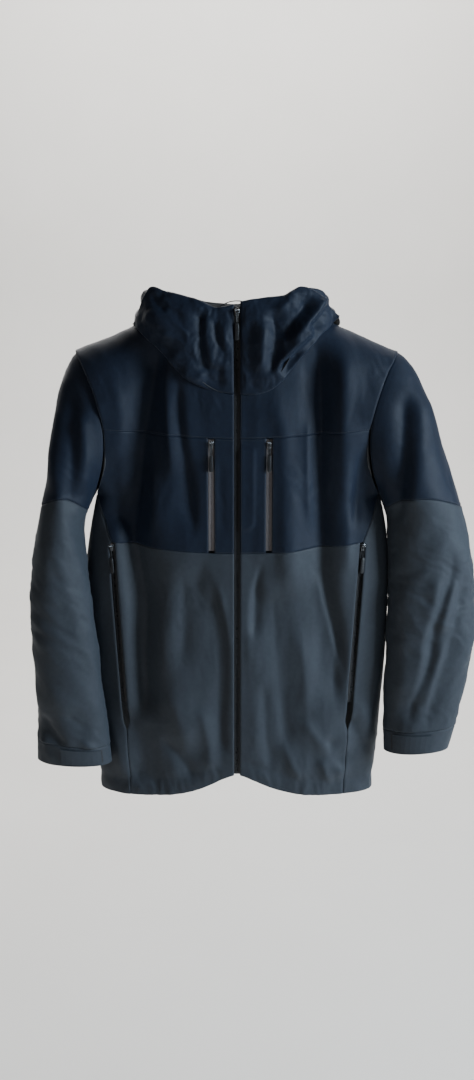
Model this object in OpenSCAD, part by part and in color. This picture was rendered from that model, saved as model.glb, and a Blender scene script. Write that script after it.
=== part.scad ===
/* [Body] */
// Length from the hanger loop down to the hem at the back
body_len = 762; // [740:1:930]
// Half of the body's width at its widest, below the arms
waist_half_w = 233; // [190:1:290]
// Half of the body's width at the hem
hem_half_w = 217; // [180:1:270]
// How far the middle of the front stands out from the side seams
front_depth = 56; // [45:1:90]
// How far the middle of the back stands out from the side seams
back_depth = 58; // [45:1:90]
// How far the side seams lie in front of the hanger loop
side_forward = 16; // [10:1:30]
// Drop of the widest place below the hanger loop
waist_drop = 430; // [360:1:520]
// Rise of the front hem at the zip over the hem at the sides
hem_arch = 38; // [0:1:60]
// Thickness that every fabric panel is given
cloth_t = 1.6; // [1:0.1:2.4]
// Gap left at each seam between two panels
seam_gap = 0.5; // [0.3:0.1:1]

/* [Shoulders] */
// Half of the width over the shoulder tips
shoulder_half_w = 238; // [200:1:290]
// Drop of the shoulder tips
shoulder_drop = 72; // [50:1:100]
// Half of the width of the neck opening
neck_half_w = 92; // [75:1:115]
// Drop of the neck seam at the sides
neck_side_drop = 12; // [8:1:20]
// Drop of the neck seam at the front
neck_front_drop = 131; // [105:1:160]
// Drop of the neck seam at the back
neck_back_drop = 20; // [16:1:30]
// Height of each armhole
armhole_height = 212; // [175:1:255]
// Half of the depth of each armhole
armhole_half_d = 52; // [42:1:64]
// How far the armhole seam bows in over the chest
armhole_bow = 15; // [5:1:25]
// How far the armpits lie inside the shoulder tips
armpit_inset = 24; // [10:1:40]

/* [Seams and pockets] */
// Drop of the seam across the chest, at the armholes
chest_seam_drop = 183; // [150:1:215]
// Drop of the seam where the two colours meet, at the sides
colour_seam_drop = 354; // [330:1:420]
// How much lower both seams lie at the zip
seam_dip = 13; // [0:1:25]
// Drop of the seam across the upper back
back_seam_drop = 150; // [120:1:170]
// Place of the left chest zip from the middle
chest_zip_left_x = 38; // [30:1:60]
// Place of the right chest zip from the middle
chest_zip_right_x = 47; // [30:1:60]
// Length of each chest zip
chest_zip_len = 166; // [140:1:168]
// Place of each hand zip's top from the middle
hand_zip_x = 189; // [160:1:196]
// Length of each hand zip
hand_zip_len = 252; // [200:1:305]
// How far each hand zip leans in towards its lower end
hand_zip_lean = 14; // [0:1:30]

/* [Sleeves] */
// Length of a sleeve from the shoulder tip to the cuff
sleeve_len = 608; // [520:1:760]
// Gap between the armhole and the sleeve
arm_gap = 1.7; // [1.6:0.1:3]
// Height of each cuff
cuff_h = 42; // [30:1:60]
// Height of the cuff tabs
tab_h = 28; // [20:1:34]

/* [Hood] */
// Half of the width over the top of the collar
collar_half_w = 122; // [100:1:145]
// How far the back of the collar's top stands out from the side seams
collar_back_d = 36; // [30:1:45]
// Rise of the collar at the sides over the hanger loop
collar_rise = 18; // [5:1:35]
// Half of the width of the hood where it hangs behind the neck
hood_half_w = 128; // [100:1:150]
// Half of the depth of the hanging hood
hood_half_d = 28; // [22:1:40]
// Length of the hood below the neck
hood_len = 214; // [170:1:260]
// Height of the stiffened brim
brim_h = 34; // [20:1:50]

/* [Zips and cord locks] */
// Half of the width of the main zip's opening
main_open = 4.5; // [4.3:0.1:7]
// Half of the width of a pocket zip's opening
pocket_open = 4.4; // [4.3:0.1:6]
// Half of the width of a zip slider
slider_half_w = 3.9; // [3.2:0.1:4.1]
// Length of a zip slider
slider_len = 11; // [9:0.5:14]
// Length of a zip puller from its pin
puller_len = 42; // [32:1:50]
// Radius of the pin that holds a puller
pin_r = 0.9; // [0.6:0.1:1]
// Radial clearance of pins and plungers
run_gap = 0.06; // [0.03:0.01:0.1]
// Radius of a cord lock's plunger
plunger_r = 5; // [4:0.1:6]
// Travel of a cord lock's plunger
plunger_travel = 3; // [2:0.1:4]
// Diameter of the hem's elastic cord
cord_d = 2.6; // [2:0.1:3.2]

/* [Hidden] */

navy = [0.10, 0.13, 0.20];
grey = [0.25, 0.30, 0.36];
black = [0.05, 0.05, 0.06];
pale = [0.50, 0.47, 0.47];

// Roundness of the body's outline seen from above
squareness = 2.4;
arm_mid_z = -shoulder_drop - armhole_height / 2;
armpit_z = -shoulder_drop - armhole_height;
armpit_half_w = shoulder_half_w - armpit_inset;
side_hem_z = -body_len + 5;
colour_z = -colour_seam_drop;
chest_zip_top_z = -chest_seam_drop - seam_dip - 1;
main_zip_top_z = -8;
main_zip_bottom_z = side_hem_z + hem_arch + 3;
body_core = [0, -side_forward, -0.55 * body_len];
tick = 0.02;

function lerp(a, b, t) = a + (b - a) * t;
function clamp01(t) = max(0, min(1, t));
function steps(a, b, n) = [for (i = [0:n]) lerp(a, b, i / n)];
function unit(v) = v / norm(v);
// Smooth curve through the rows of a table
function along(rows, u) =
  let (n = len(rows) - 1, i = min(n - 1, max(0, floor(u))), t = u - i,
       a = rows[max(0, i - 1)], b = rows[i], c = rows[i + 1], d = rows[min(n, i + 2)])
  (2 * b + (c - a) * t + (2 * a - 5 * b + 4 * c - d) * t * t + (3 * b - a - 3 * c + d) * t * t * t) / 2;

// Half width of the body, and of the armhole seam above the armpit
function ring_x(z) =
  let (c = (z - arm_mid_z) / (armhole_height / 2))
  (shoulder_half_w + armpit_half_w) / 2 + armpit_inset / 2 * c + 2 * armhole_bow * (c * c - 1);
function body_w(z) =
  z >= armpit_z ? ring_x(min(z, -shoulder_drop)) :
  z >= -waist_drop ? lerp(waist_half_w, armpit_half_w, pow((z + waist_drop) / (waist_drop + armpit_z), 2)) :
  lerp(waist_half_w, hem_half_w, pow((-waist_drop - z) / (body_len - waist_drop), 1.5));
function edge_depth(z) =
  z >= arm_mid_z ? armhole_half_d :
  armhole_half_d * sqrt(max(0, 1 - pow((z - arm_mid_z) / (armhole_height / 2), 2)));
function shoulder_z(x) =
  -neck_side_drop - max(0, abs(x) - neck_half_w) * (shoulder_drop - neck_side_drop)
  / (shoulder_half_w - neck_half_w);
function over_shoulder(x, z) =
  let (t = clamp01((shoulder_z(x) - z) / (armhole_height / 2))) sqrt(1 - (1 - t) * (1 - t));
function out_depth(x, z, depth) =
  over_shoulder(x, z) * lerp(edge_depth(z), depth,
    pow(max(0, 1 - pow(min(1, abs(x) / body_w(z)), squareness)), 1 / squareness));
function front_p(x, z) = [x, -side_forward - out_depth(x, z, front_depth), z];
function back_p(x, z) = [x, -side_forward + out_depth(x, z, back_depth), z];

// Seam lines across the body
function chest_seam_z(x) = -chest_seam_drop - seam_dip * cos(90 * clamp01(abs(x) / armpit_half_w));
function colour_seam_z(x) = colour_z - seam_dip * cos(90 * clamp01(abs(x) / armpit_half_w));
function front_hem_z(x) = side_hem_z + hem_arch * exp(-pow(abs(x) / 75, 1.5));
function back_hem_z(x) = lerp(side_hem_z, -body_len, cos(90 * clamp01(abs(x) / hem_half_w)));
function hand_zip_line(z) = hand_zip_x - hand_zip_lean * (colour_z - z) / hand_zip_len;
// Where the front panels end and the side panels begin
function panel_edge(z) =
  z >= armpit_z ? ring_x(min(z, -shoulder_drop)) :
  z >= colour_z ? lerp(body_w(z), hand_zip_line(colour_z), pow((armpit_z - z) / (armpit_z - colour_z), 0.8)) :
  hand_zip_line(z);

// A sheet of fabric over the surface f(u, v), closed into a ring when wrap is true
module cloth(f, us, vs, core = body_core, off = 0, th = cloth_t, wrap = false) {
  nu = len(us);
  nv = len(vs);
  // Slopes are taken inside the sheet, except round a closed ring
  u_at = function (u) wrap ? u : max(us[0], min(us[nu - 1], u));
  v_at = function (v) max(vs[0], min(vs[nv - 1], v));
  du = tick * (us[1] - us[0]);
  dv = tick * (vs[1] - vs[0]);
  along_u = function (u, v) f(u_at(u + du), v) - f(u_at(u - du), v);
  along_v = function (u, v) f(u, v_at(v + dv)) - f(u, v_at(v - dv));
  normal = function (u, v) unit(cross(along_u(u, v), along_v(u, v)));
  mid_u = us[floor(nu / 2)];
  mid_v = vs[floor(nv / 2)];
  s = normal(mid_u, mid_v) * (f(mid_u, mid_v) - core) > 0 ? 1 : -1;
  points = [for (k = [0, 1]) for (u = us) for (v = vs) f(u, v) - s * (off + k * th) * normal(u, v)];
  o = function (i, j) (i % nu) * nv + j;
  n = function (i, j) nu * nv + (i % nu) * nv + j;
  last = nu - 1;
  top = nv - 1;
  quads = concat(
    [for (i = [0:wrap ? last : last - 1]) for (j = [0:top - 1]) each [
      [o(i, j), o(i, j + 1), o(i + 1, j + 1), o(i + 1, j)],
      [n(i, j), n(i + 1, j), n(i + 1, j + 1), n(i, j + 1)]]],
    [for (i = [0:wrap ? last : last - 1]) each [
      [o(i, 0), o(i + 1, 0), n(i + 1, 0), n(i, 0)],
      [o(i + 1, top), o(i, top), n(i, top), n(i + 1, top)]]],
    wrap ? [] : [for (j = [0:top - 1]) each [
      [o(0, j + 1), o(0, j), n(0, j), n(0, j + 1)],
      [o(last, j), o(last, j + 1), n(last, j + 1), n(last, j)]]]);
  faces = [for (q = quads) each [[q[0], q[1], q[2]], [q[0], q[2], q[3]]]];
  polyhedron(points, s > 0 ? faces : [for (t = faces) [t[2], t[1], t[0]]]);
}

// A ring of points swept into a closed solid, one ring for each place on the way
module swept(rings) {
  m = len(rings[0]);
  k = len(rings);
  sides = [for (i = [0:k - 2]) for (j = [0:m - 1]) each [
    [i * m + j, i * m + (j + 1) % m, (i + 1) * m + (j + 1) % m],
    [i * m + j, (i + 1) * m + (j + 1) % m, (i + 1) * m + j]]];
  caps = [[for (j = [m - 1:-1:0]) j], [for (j = [0:m - 1]) (k - 1) * m + j]];
  polyhedron([for (r = rings) each r], concat(sides, caps));
}

// A hand zip's opening closes again below the zip, past the reach of a puller that hangs there
close_run = 14;
puller_reach = puller_len - 10;
function edge_gap(z) =
  z > colour_z ? seam_gap / 2 :
  lerp(seam_gap / 2, pocket_open, clamp01((z - colour_z + hand_zip_len + puller_reach) / close_run + 1));

module on_side(side) {
  if (side > 0) children();
  else mirror([1, 0, 0]) children();
}

// Front panels of the right-hand side, which on_side mirrors for the left
neck_share = 0.42;
function yoke_top(c, front) =
  c < neck_share
  ? let (a = 90 * c / neck_share)
    [neck_half_w * sin(a) + (front ? (main_open + seam_gap) * (1 - sin(a)) : 0),
     -neck_side_drop - ((front ? neck_front_drop : neck_back_drop) - neck_side_drop) * cos(a)]
  : let (x = lerp(neck_half_w, shoulder_half_w, (c - neck_share) / (1 - neck_share))) [x, shoulder_z(x)];
function yoke_xz(c, v, front, low_z) =
  let (g = 1 - cos(90 * v), t = yoke_top(c, front), edge_z = lerp(-shoulder_drop, low_z(armpit_half_w), g),
       x0 = front ? main_open : 0, edge_x = ring_x(low_z(armpit_half_w)),
       bx = lerp(x0, edge_x, c), lin = lerp(t[0], bx, v),
       x = lin + pow(c, 4) * (ring_x(min(edge_z, -shoulder_drop)) - lerp(shoulder_half_w, edge_x, v)))
  [x, lerp(t[1], low_z(bx), g)];
function across(c, v, x0, high_z, low_z) =
  let (high_x = lerp(x0, panel_edge(high_z(armpit_half_w)), c),
       low_x = lerp(x0, panel_edge(low_z(armpit_half_w)), c),
       z = lerp(high_z(high_x), low_z(low_x), v))
  [lerp(x0, panel_edge(z) - edge_gap(z), c), z];

module yoke(side) {
  f = function (c, v)
    let (q = yoke_xz(c, v, true, function (x) chest_seam_z(x) + seam_gap)) front_p(q[0], q[1]);
  color(navy) on_side(side) cloth(f, steps(0, 1, 14), steps(0, 1, 8));
}

module chest_centre(side, zip_x) {
  f = function (c, v)
    let (x = lerp(main_open, zip_x - pocket_open, c)) front_p(x, lerp(chest_seam_z(x), colour_seam_z(x), v));
  color(navy) on_side(side) cloth(f, steps(0, 1, 2), steps(0, 1, 6));
}

module chest(side, zip_x) {
  f = function (c, v)
    let (q = across(c, v, zip_x + pocket_open, function (x) chest_seam_z(x), function (x) colour_seam_z(x)))
    front_p(q[0], q[1]);
  color(navy) on_side(side) cloth(f, steps(0, 1, 9), steps(0, 1, 10));
}

module front(side) {
  f = function (c, v)
    let (q = across(c, v, main_open, function (x) colour_seam_z(x) - seam_gap, function (x) front_hem_z(x)))
    front_p(q[0], q[1]);
  color(grey) on_side(side) cloth(f, steps(0, 1, 11), steps(0, 1, 12));
}

// The side panel leans, so below the colour line its edge keeps this much further from the zip's slider
side_lean = 1.6;
side_top_z = armpit_z - 8;
module side_panel(side) {
  from = function (z, gap) asin(pow(min(1, (panel_edge(z) + gap) / body_w(z)), squareness / 2));
  f = function (c, v)
    let (hem_x = lerp(hand_zip_line(side_hem_z), hem_half_w, clamp01(2 * c)),
         low_z = c < 0.5 ? front_hem_z(hem_x) : side_hem_z,
         z = lerp(side_top_z, low_z, v), gap = edge_gap(z) + (z < colour_z - 1 ? side_lean : 0),
         a = lerp(from(z, gap), 180 - from(z, seam_gap / 2), c),
         x = body_w(z) * pow(max(0, sin(a)), 2 / squareness), k = pow(abs(cos(a)), 2 / squareness))
    [x, -side_forward + (a < 90 ? -front_depth : back_depth) * k, z];
  // The rows meet where the hand zip's opening starts
  zip_share = (side_top_z - colour_z) / (side_top_z - side_hem_z);
  rows = concat([0, zip_share / 2, zip_share], steps(zip_share + 0.004, 1, 12));
  color(grey) on_side(side) cloth(f, steps(0, 1, 8), rows);
}

// The back is one width of fabric from side to side
module back_yoke() {
  f = function (c, v)
    let (q = yoke_xz(abs(c), v, false, function (x) -back_seam_drop)) back_p(sign(c) * q[0], q[1]);
  color(navy) cloth(f, steps(-1, 1, 24), steps(0, 1, 7));
}

module back_upper() {
  f = function (c, v)
    let (z = lerp(-back_seam_drop - seam_gap, colour_z, v)) back_p(c * (panel_edge(z) - seam_gap), z);
  color(navy) cloth(f, steps(-1, 1, 16), steps(0, 1, 9));
}

module back_lower() {
  f = function (c, v)
    let (z = lerp(colour_z - seam_gap, back_hem_z(c * hem_half_w), v))
    back_p(c * (hand_zip_line(z) - seam_gap), z);
  color(grey) cloth(f, steps(-1, 1, 16), steps(0, 1, 11));
}

// Collar: a funnel from the neck seam up, open at the zip
function neck_p(a) =
  let (x = neck_half_w * sin(a), c = cos(a),
       z = -neck_side_drop - (c > 0 ? neck_front_drop - neck_side_drop : neck_side_drop - neck_back_drop) * c)
  c > 0 ? front_p(x, z) : back_p(x, z);
function collar_top(a) =
  let (c = cos(a), rise = lerp(c > 0 ? 0 : -6, collar_rise, pow(abs(sin(a)), 2)))
  [collar_half_w * sin(a), -side_forward - (c > 0 ? front_depth : collar_back_d) * c, rise];
function collar_p(a, v) =
  let (p = lerp(neck_p(a), collar_top(a), v), swell = 10 * sin(180 * v) * sin(a) * sin(a))
  p + [swell * sign(sin(a)), 0, seam_gap + cloth_t];
function zip_angle(w) = asin(main_open / w);

module collar(side) {
  f = function (c, v) collar_p(lerp(lerp(zip_angle(neck_half_w), zip_angle(collar_half_w), v), 118, c), v);
  color(navy) on_side(side) cloth(f, steps(0, 1, 14), steps(0, 1, 6), core = [0, 0, -60]);
}

module collar_back() {
  f = function (c, v) collar_p(lerp(119, 241, c), v);
  color(navy) cloth(f, steps(0, 1, 12), steps(0, 0.9, 3), core = [0, 0, -60]);
}

// Inner pieces behind the main zip
zip_clear = 1.1;
zip_y = -side_forward - front_depth + cloth_t + zip_clear;
flap_y = zip_y + 4;
flap_w = 42;
flap_lap = 14;
flap_short = 12;
guard_w = 32;
guard_h = 56;
guard_t = 1.4;
module chin_guard() {
  color(pale) translate([-guard_w / 2, flap_y + cloth_t + 0.6, main_zip_top_z - guard_h])
    cube([guard_w, guard_t, guard_h]);
}

module storm_flap() {
  color(black) translate([-flap_lap, flap_y, main_zip_bottom_z + flap_short / 2])
    cube([flap_w, cloth_t, main_zip_top_z - main_zip_bottom_z - 2 * flap_short]);
}

// The loop's inner top is the place that the jacket hangs from
loop_half_w = 30;
loop_h = 21;
loop_t = 1.4;
loop_w = 8;
module hanger_loop() {
  arch = function (t) [for (a = [0:12:180]) [(loop_half_w + t) * cos(a), (loop_h + t) * sin(a) - loop_h]];
  inner = arch(0);
  color(black) translate([0, loop_w / 2, 0]) rotate([90, 0, 0]) linear_extrude(loop_w)
    polygon(concat(arch(loop_t), [for (i = [len(inner) - 1:-1:0]) inner[i]]));
}

// Hem: the panels are turned up inside to make a channel for the elastic cord
function hem_point(a, inset, up) =
  let (c = cos(a), k = pow(abs(c), 2 / squareness),
       x = hem_half_w * sign(sin(a)) * pow(abs(sin(a)), 2 / squareness),
       z = c > 0 ? front_hem_z(x) : back_hem_z(x),
       d = (c > 0 ? front_depth : back_depth), p = [x, -side_forward - sign(c) * d * k, z],
       n = unit([sin(a) / hem_half_w * 60, -c, 0]))
  p - n * inset + [0, 0, up];
hem_turn = 3.4;
hem_channel = 22;
hem_gap = 0.2;
facing_t = 1;
module hem_facing() {
  deep = cloth_t + cord_d + 2 * hem_turn;
  low = -hem_gap - facing_t;
  section = [[2 * hem_gap, low], [deep, low], [deep, hem_channel], [deep - facing_t - hem_gap, hem_channel],
             [deep - facing_t - hem_gap, -hem_gap], [2 * hem_gap, -hem_gap]];
  color(grey) swept([for (a = steps(5, 355, 56)) [for (q = section) hem_point(a, q[0], q[1])]]);
}

cord_up = 10;
module hem_drawcord() {
  inset = cloth_t + hem_turn + cord_d / 2;
  at = function (a) hem_point(a, inset, cord_up);
  color(black) swept([for (a = steps(8, 352, 52))
    let (p = at(a), t = unit(at(a + 1) - at(a - 1)),
         s = unit(cross(t, [0, 0, 1])))
    [for (j = [0:7]) p + cord_d / 2 * (s * cos(45 * j) + cross(s, t) * sin(45 * j))]]);
}

// Cord locks at the hem: a barrel, a plunger that a spring holds down, and a cross hole
lock_h = 17;
lock_wall = 1.6;
lock_floor = 1.6;
lock_in = 48;
lock_behind = 27;
lock_up = 30;
lock_x = hem_half_w - lock_in;
lock_y = front_p(lock_x, side_hem_z)[1] + lock_behind;
lock_z = side_hem_z + lock_up;
cord_hole_z = 5;
cord_hole_len = 40;
plunger_h = 12;
plunger_out = 1.5;
cross_r = cord_d / 2 + 0.5;
bore_r = plunger_r + run_gap;
module lock_place(side) {
  translate([side * lock_x, lock_y, lock_z]) children();
}

module cord_locks() {
  color(black) for (side = [-1, 1]) lock_place(side) difference() {
    cylinder(r = bore_r + lock_wall, h = lock_h, $fn = 48);
    translate([0, 0, -1]) cylinder(r = bore_r, h = lock_h - lock_floor + 1, $fn = 48);
    translate([0, 0, cord_hole_z]) rotate([0, 90, 0])
      cylinder(r = cross_r, h = cord_hole_len, center = true, $fn = 32);
  }
}

module plunger(side) {
  color(grey) lock_place(side) difference() {
    translate([0, 0, -plunger_travel - plunger_out]) cylinder(r = plunger_r, h = plunger_h, $fn = 48);
    for (up = [0, plunger_travel]) translate([0, 0, cord_hole_z - up])
      rotate([0, 90, 0]) cylinder(r = cross_r, h = cord_hole_len, center = true, $fn = 32);
    translate([-cord_hole_len / 2, -cross_r, cord_hole_z - plunger_travel])
      cube([cord_hole_len, 2 * cross_r, plunger_travel]);
  }
}

module plunger_spring(side) {
  base = plunger_h - plunger_travel - plunger_out;
  roof = lock_h - lock_floor;
  color("silver") lock_place(side) translate([0, 0, base]) difference() {
    cylinder(r = plunger_r - 1, h = roof - base, $fn = 32);
    translate([0, 0, -1]) cylinder(r = plunger_r - 2, h = roof - base + 2, $fn = 32);
  }
}

// Pocket bags lie behind the front panels
pocket_t = 2.4;
chest_pocket_x = 150;
chest_pocket_behind = 8;
hand_pocket_x = 60;
hand_pocket_below = 40;
hand_pocket_behind = 9;
module chest_pocket(side, zip_x) {
  f = function (c, v)
    front_p(lerp(zip_x + 12, chest_pocket_x, c), lerp(chest_zip_top_z - 6, colour_z - 8, v));
  color(black) on_side(side)
    cloth(f, steps(0, 1, 5), steps(0, 1, 4), off = chest_pocket_behind, th = pocket_t);
}

module hand_pocket(side) {
  f = function (c, v)
    let (z = lerp(colour_z - 22, colour_z - hand_zip_len - hand_pocket_below, v))
    front_p(lerp(hand_pocket_x, hand_zip_line(z) - 18, c), z);
  color(black) on_side(side)
    cloth(f, steps(0, 1, 6), steps(0, 1, 7), off = hand_pocket_behind, th = pocket_t);
}

// Zips: each has its own frame, with the closing direction along +Z and the outside towards -Y
coil_in = 0.6;
coil_out = 2.4;
coil_y = 1;
tape_y = 0.4;
tape_w = 13;
module zip_tapes(length, half_w) {
  for (s = [-1, 1])
    translate([s > 0 ? coil_out : -half_w, -tape_y, -length]) cube([half_w - coil_out, 2 * tape_y, length]);
}

module zip_coils(length) {
  for (s = [-1, 1])
    translate([s > 0 ? coil_in : -coil_out, -coil_y, -length]) cube([coil_out - coil_in, 2 * coil_y, length]);
}

plate_t = 1.3;
plate_y = coil_y + 0.5;
pin_y = -plate_y - plate_t - 2.4;
pin_z = 2.5;
ear_x = 2.1;
ear_t = 0.9;
module slider() {
  for (y = [-plate_y - plate_t, plate_y])
    translate([-slider_half_w, y, -slider_len / 2]) cube([2 * slider_half_w, plate_t, slider_len]);
  translate([-coil_in + 0.2, -plate_y - 0.1, 0])
    cube([2 * coil_in - 0.4, 2 * plate_y + 0.2, slider_len / 2 - 1]);
  for (s = [-1, 1]) translate([s > 0 ? ear_x : -ear_x - ear_t, pin_y - 1.2, pin_z - 1.4])
    cube([ear_t, -pin_y + 1.2 - plate_y - 0.2, 2.8]);
  translate([0, pin_y, pin_z]) rotate([0, 90, 0])
    cylinder(r = pin_r, h = 2 * ear_x + ear_t, center = true, $fn = 32);
}

module puller(length) {
  eye_r = 2;
  grip = 0.58 * length;
  difference() {
    union() {
      translate([0, pin_y, pin_z]) rotate([0, 90, 0])
        cylinder(r = eye_r, h = 2 * ear_x - 0.4, center = true, $fn = 32);
      translate([-1.9, pin_y - 0.6, pin_z - length + grip - 2]) cube([3.8, 1.2, length - grip + 1]);
      translate([-2.9, pin_y - 1.6, pin_z - length]) cube([5.8, 3.2, grip]);
    }
    translate([0, pin_y, pin_z]) rotate([0, 90, 0])
      cylinder(r = pin_r + run_gap, h = 20, center = true, $fn = 32);
  }
}

slider_rest = slider_len / 2 + 2;
// Frames of the three kinds of zip
module at_main_zip() {
  translate([0, zip_y, main_zip_top_z]) children();
}

module at_chest_zip(side, zip_x) {
  p = front_p(zip_x, chest_zip_top_z - 60);
  translate([side * zip_x, p[1] + cloth_t + zip_clear + 0.4, chest_zip_top_z]) children();
}

hand_top = front_p(hand_zip_line(colour_z), colour_z);
hand_low = front_p(hand_zip_line(colour_z - hand_zip_len), colour_z - hand_zip_len);
hand_run = hand_low - hand_top;
hand_lean = atan2(-hand_run[0], hand_zip_len);
hand_fall = atan2(hand_run[1], hand_zip_len);
hand_yaw = 17;
hand_sink = cloth_t + 2.6;
module at_hand_zip(side) {
  on_side(side) translate(hand_top + [0, hand_sink, 0])
    rotate([hand_fall, 0, 0]) rotate([0, hand_lean, 0]) rotate([0, 0, hand_yaw]) children();
}

main_zip_len = main_zip_top_z - main_zip_bottom_z;
module main_zip_tapes() {
  color(black) at_main_zip() zip_tapes(main_zip_len, tape_w);
}

module main_zip_coils() {
  color(black) at_main_zip() zip_coils(main_zip_len);
}

module chest_zip(side, zip_x) {
  color(pale) at_chest_zip(side, zip_x) {
    zip_tapes(chest_zip_len, 8);
    zip_coils(chest_zip_len);
  }
}

module hand_zip(side) {
  color(black) at_hand_zip(side) {
    zip_tapes(hand_zip_len, 7);
    zip_coils(hand_zip_len);
  }
}

module at_slider() {
  translate([0, 0, -slider_rest]) children();
}

// Sleeves: each row is one place down the sleeve, as shares of its length and distances from the
// shoulder tip: outer drop, outer x, inner drop, inner x, half depth, forward, bow
armhole_row = [0, 0, armhole_height / sleeve_len, -armpit_inset, armhole_half_d, 0, armhole_bow];
right_rows = [
  armhole_row,
  [0.08, 34, armhole_height / sleeve_len + 0.014, 3 - armpit_inset, 56, 3, 8],
  [0.305, 84, 0.42, -12, 54, 9, 0],
  [0.505, 117, 0.53, -8, 46, 15, 0],
  [0.70, 126, 0.71, -9, 38, 20, 0],
  [0.89, 107, 0.90, -12, 33, 26, 0],
  [1, 92, 1.01, -9, 30, 30, 0]
];
left_rows = [
  armhole_row,
  [0.10, 24, armhole_height / sleeve_len + 0.02, 4 - armpit_inset, 57, 9, 8],
  [0.30, 43, 0.42, -10, 53, 24, 0],
  [0.505, 66, 0.53, -14, 45, 42, 0],
  [0.70, 69, 0.71, -27, 36, 50, 0],
  [0.87, 66, 0.90, -38, 33, 50, 0],
  [1.02, 70, 1.03, -45, 30, 48, 0]
];
function rows_for(side) = side > 0 ? right_rows : left_rows;
function sleeve_p(rows, a, u) =
  let (r = along(rows, u), tip = shoulder_half_w + arm_gap,
       o = [tip + r[1], 0, -shoulder_drop - r[0] * sleeve_len],
       i = [tip + r[3], 0, -shoulder_drop - r[2] * sleeve_len])
  (o + i) / 2 + (o - i) / 2 * cos(a)
  + [r[6] * (cos(2 * a) - 1), -side_forward - r[5] - r[4] * sin(a), 0];
function colour_u(a) = 1.9 + 0.45 * cos(a);
colour_gap_u = 0.006;
function end_u(rows, h) = 6 - h / ((rows[6][0] - rows[5][0]) * sleeve_len);
turns = [for (i = [0:21]) i * 360 / 22];

module sleeve_part(side, from, to, n) {
  rows = rows_for(side);
  f = function (a, v) sleeve_p(rows, a, lerp(from(a), to(a), v));
  mid = (sleeve_p(rows, 0, 3) + sleeve_p(rows, 180, 3)) / 2;
  on_side(side) cloth(f, turns, steps(0, 1, n), core = mid, wrap = true);
}

module sleeve_upper(side) {
  color(navy) sleeve_part(side, function (a) 0, function (a) colour_u(a), 8);
}

module sleeve_lower(side) {
  from = function (a) colour_u(a) + colour_gap_u;
  color(grey) sleeve_part(side, from, function (a) end_u(rows_for(side), cuff_h), 11);
}

module cuff(side) {
  color(grey) sleeve_part(side, function (a) end_u(rows_for(side), cuff_h - seam_gap), function (a) 6, 2);
}

tab_up = cuff_h - 5;
tab_from = 74;
tab_to = 140;
module on_cuff(side, a0, a1, off, th) {
  rows = rows_for(side);
  f = function (c, v) sleeve_p(rows, lerp(a0, a1, c), end_u(rows, tab_up - v * tab_h));
  mid = (sleeve_p(rows, 0, 5.7) + sleeve_p(rows, 180, 5.7)) / 2;
  on_side(side) cloth(f, steps(0, 1, 8), steps(0, 1, 2), core = mid, off = off, th = th);
}

module cuff_patch(side) {
  color(black) on_cuff(side, tab_to - 34, tab_to + 4, -1.1, 0.8);
}

module cuff_tab(side) {
  color(black) on_cuff(side, tab_from, tab_to, -2.9, 1.4);
}

// Hood: a bag that hangs open-side up behind the neck
hood_top_z = -14;
hood_front_y = 14;
hood_clear = 3;
function hood_p(c, q) =
  let (x = hood_half_w * sin(c), z = hood_top_z - hood_len * pow(max(0, sin(q)), 0.9) * pow(cos(c), 0.6),
       lean = (1 - cos(q)) / 2, nape = lerp(back_p(x, z)[1], back_p(x, -hood_len)[1], lean) + hood_clear)
  [x, max(hood_front_y, nape + hood_half_d * (1 - cos(q) * cos(c))), z];
hood_core = [0, back_depth - side_forward + hood_half_d, hood_top_z - 20];
hood_seam = 22;
module hood_side(side) {
  f = function (c, q) hood_p(lerp(hood_seam + 0.3, 80, c), q);
  color(navy) on_side(side) cloth(f, steps(0, 1, 8), steps(4, 176, 18), core = hood_core);
}

module hood_centre() {
  f = function (c, q) hood_p(lerp(-hood_seam, hood_seam, c), q);
  color(navy) cloth(f, steps(0, 1, 6), steps(4, 176, 20), core = hood_core);
}

module hood_brim() {
  low = asin(brim_h / hood_len);
  f = function (c, q) hood_p(lerp(-46, 46, c), q);
  color(navy) cloth(f, steps(0, 1, 12), steps(180 - low, 176, 2), core = hood_core, off = -2.1, th = 1.8);
}

yoke(-1);  // yoke_left
yoke(1);  // yoke_right
chest_centre(-1, chest_zip_left_x);  // chest_centre_left
chest_centre(1, chest_zip_right_x);  // chest_centre_right
chest(-1, chest_zip_left_x);  // chest_left
chest(1, chest_zip_right_x);  // chest_right
front(-1);  // front_left
front(1);  // front_right
side_panel(-1);  // side_left
side_panel(1);  // side_right
back_yoke();
back_upper();
back_lower();
collar(-1);  // collar_left
collar(1);  // collar_right
collar_back();
chin_guard();
storm_flap();
hanger_loop();
hem_facing();
hem_drawcord();
cord_locks();
plunger(-1);  // plunger_left
plunger(1);  // plunger_right
plunger_spring(-1);  // plunger_spring_left
plunger_spring(1);  // plunger_spring_right
chest_pocket(-1, chest_zip_left_x);  // chest_pocket_left
chest_pocket(1, chest_zip_right_x);  // chest_pocket_right
hand_pocket(-1);  // hand_pocket_left
hand_pocket(1);  // hand_pocket_right
main_zip_tapes();
main_zip_coils();
chest_zip(-1, chest_zip_left_x);  // chest_zip_left
chest_zip(1, chest_zip_right_x);  // chest_zip_right
hand_zip(-1);  // hand_zip_left
hand_zip(1);  // hand_zip_right
color(black) at_main_zip() at_slider() slider();  // main_slider
color(black) at_chest_zip(-1, chest_zip_left_x) at_slider() slider();  // chest_slider_left
color(black) at_chest_zip(1, chest_zip_right_x) at_slider() slider();  // chest_slider_right
color(black) at_hand_zip(-1) at_slider() slider();  // hand_slider_left
color(black) at_hand_zip(1) at_slider() slider();  // hand_slider_right
color(grey) at_main_zip() at_slider() puller(puller_len);  // main_puller
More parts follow.
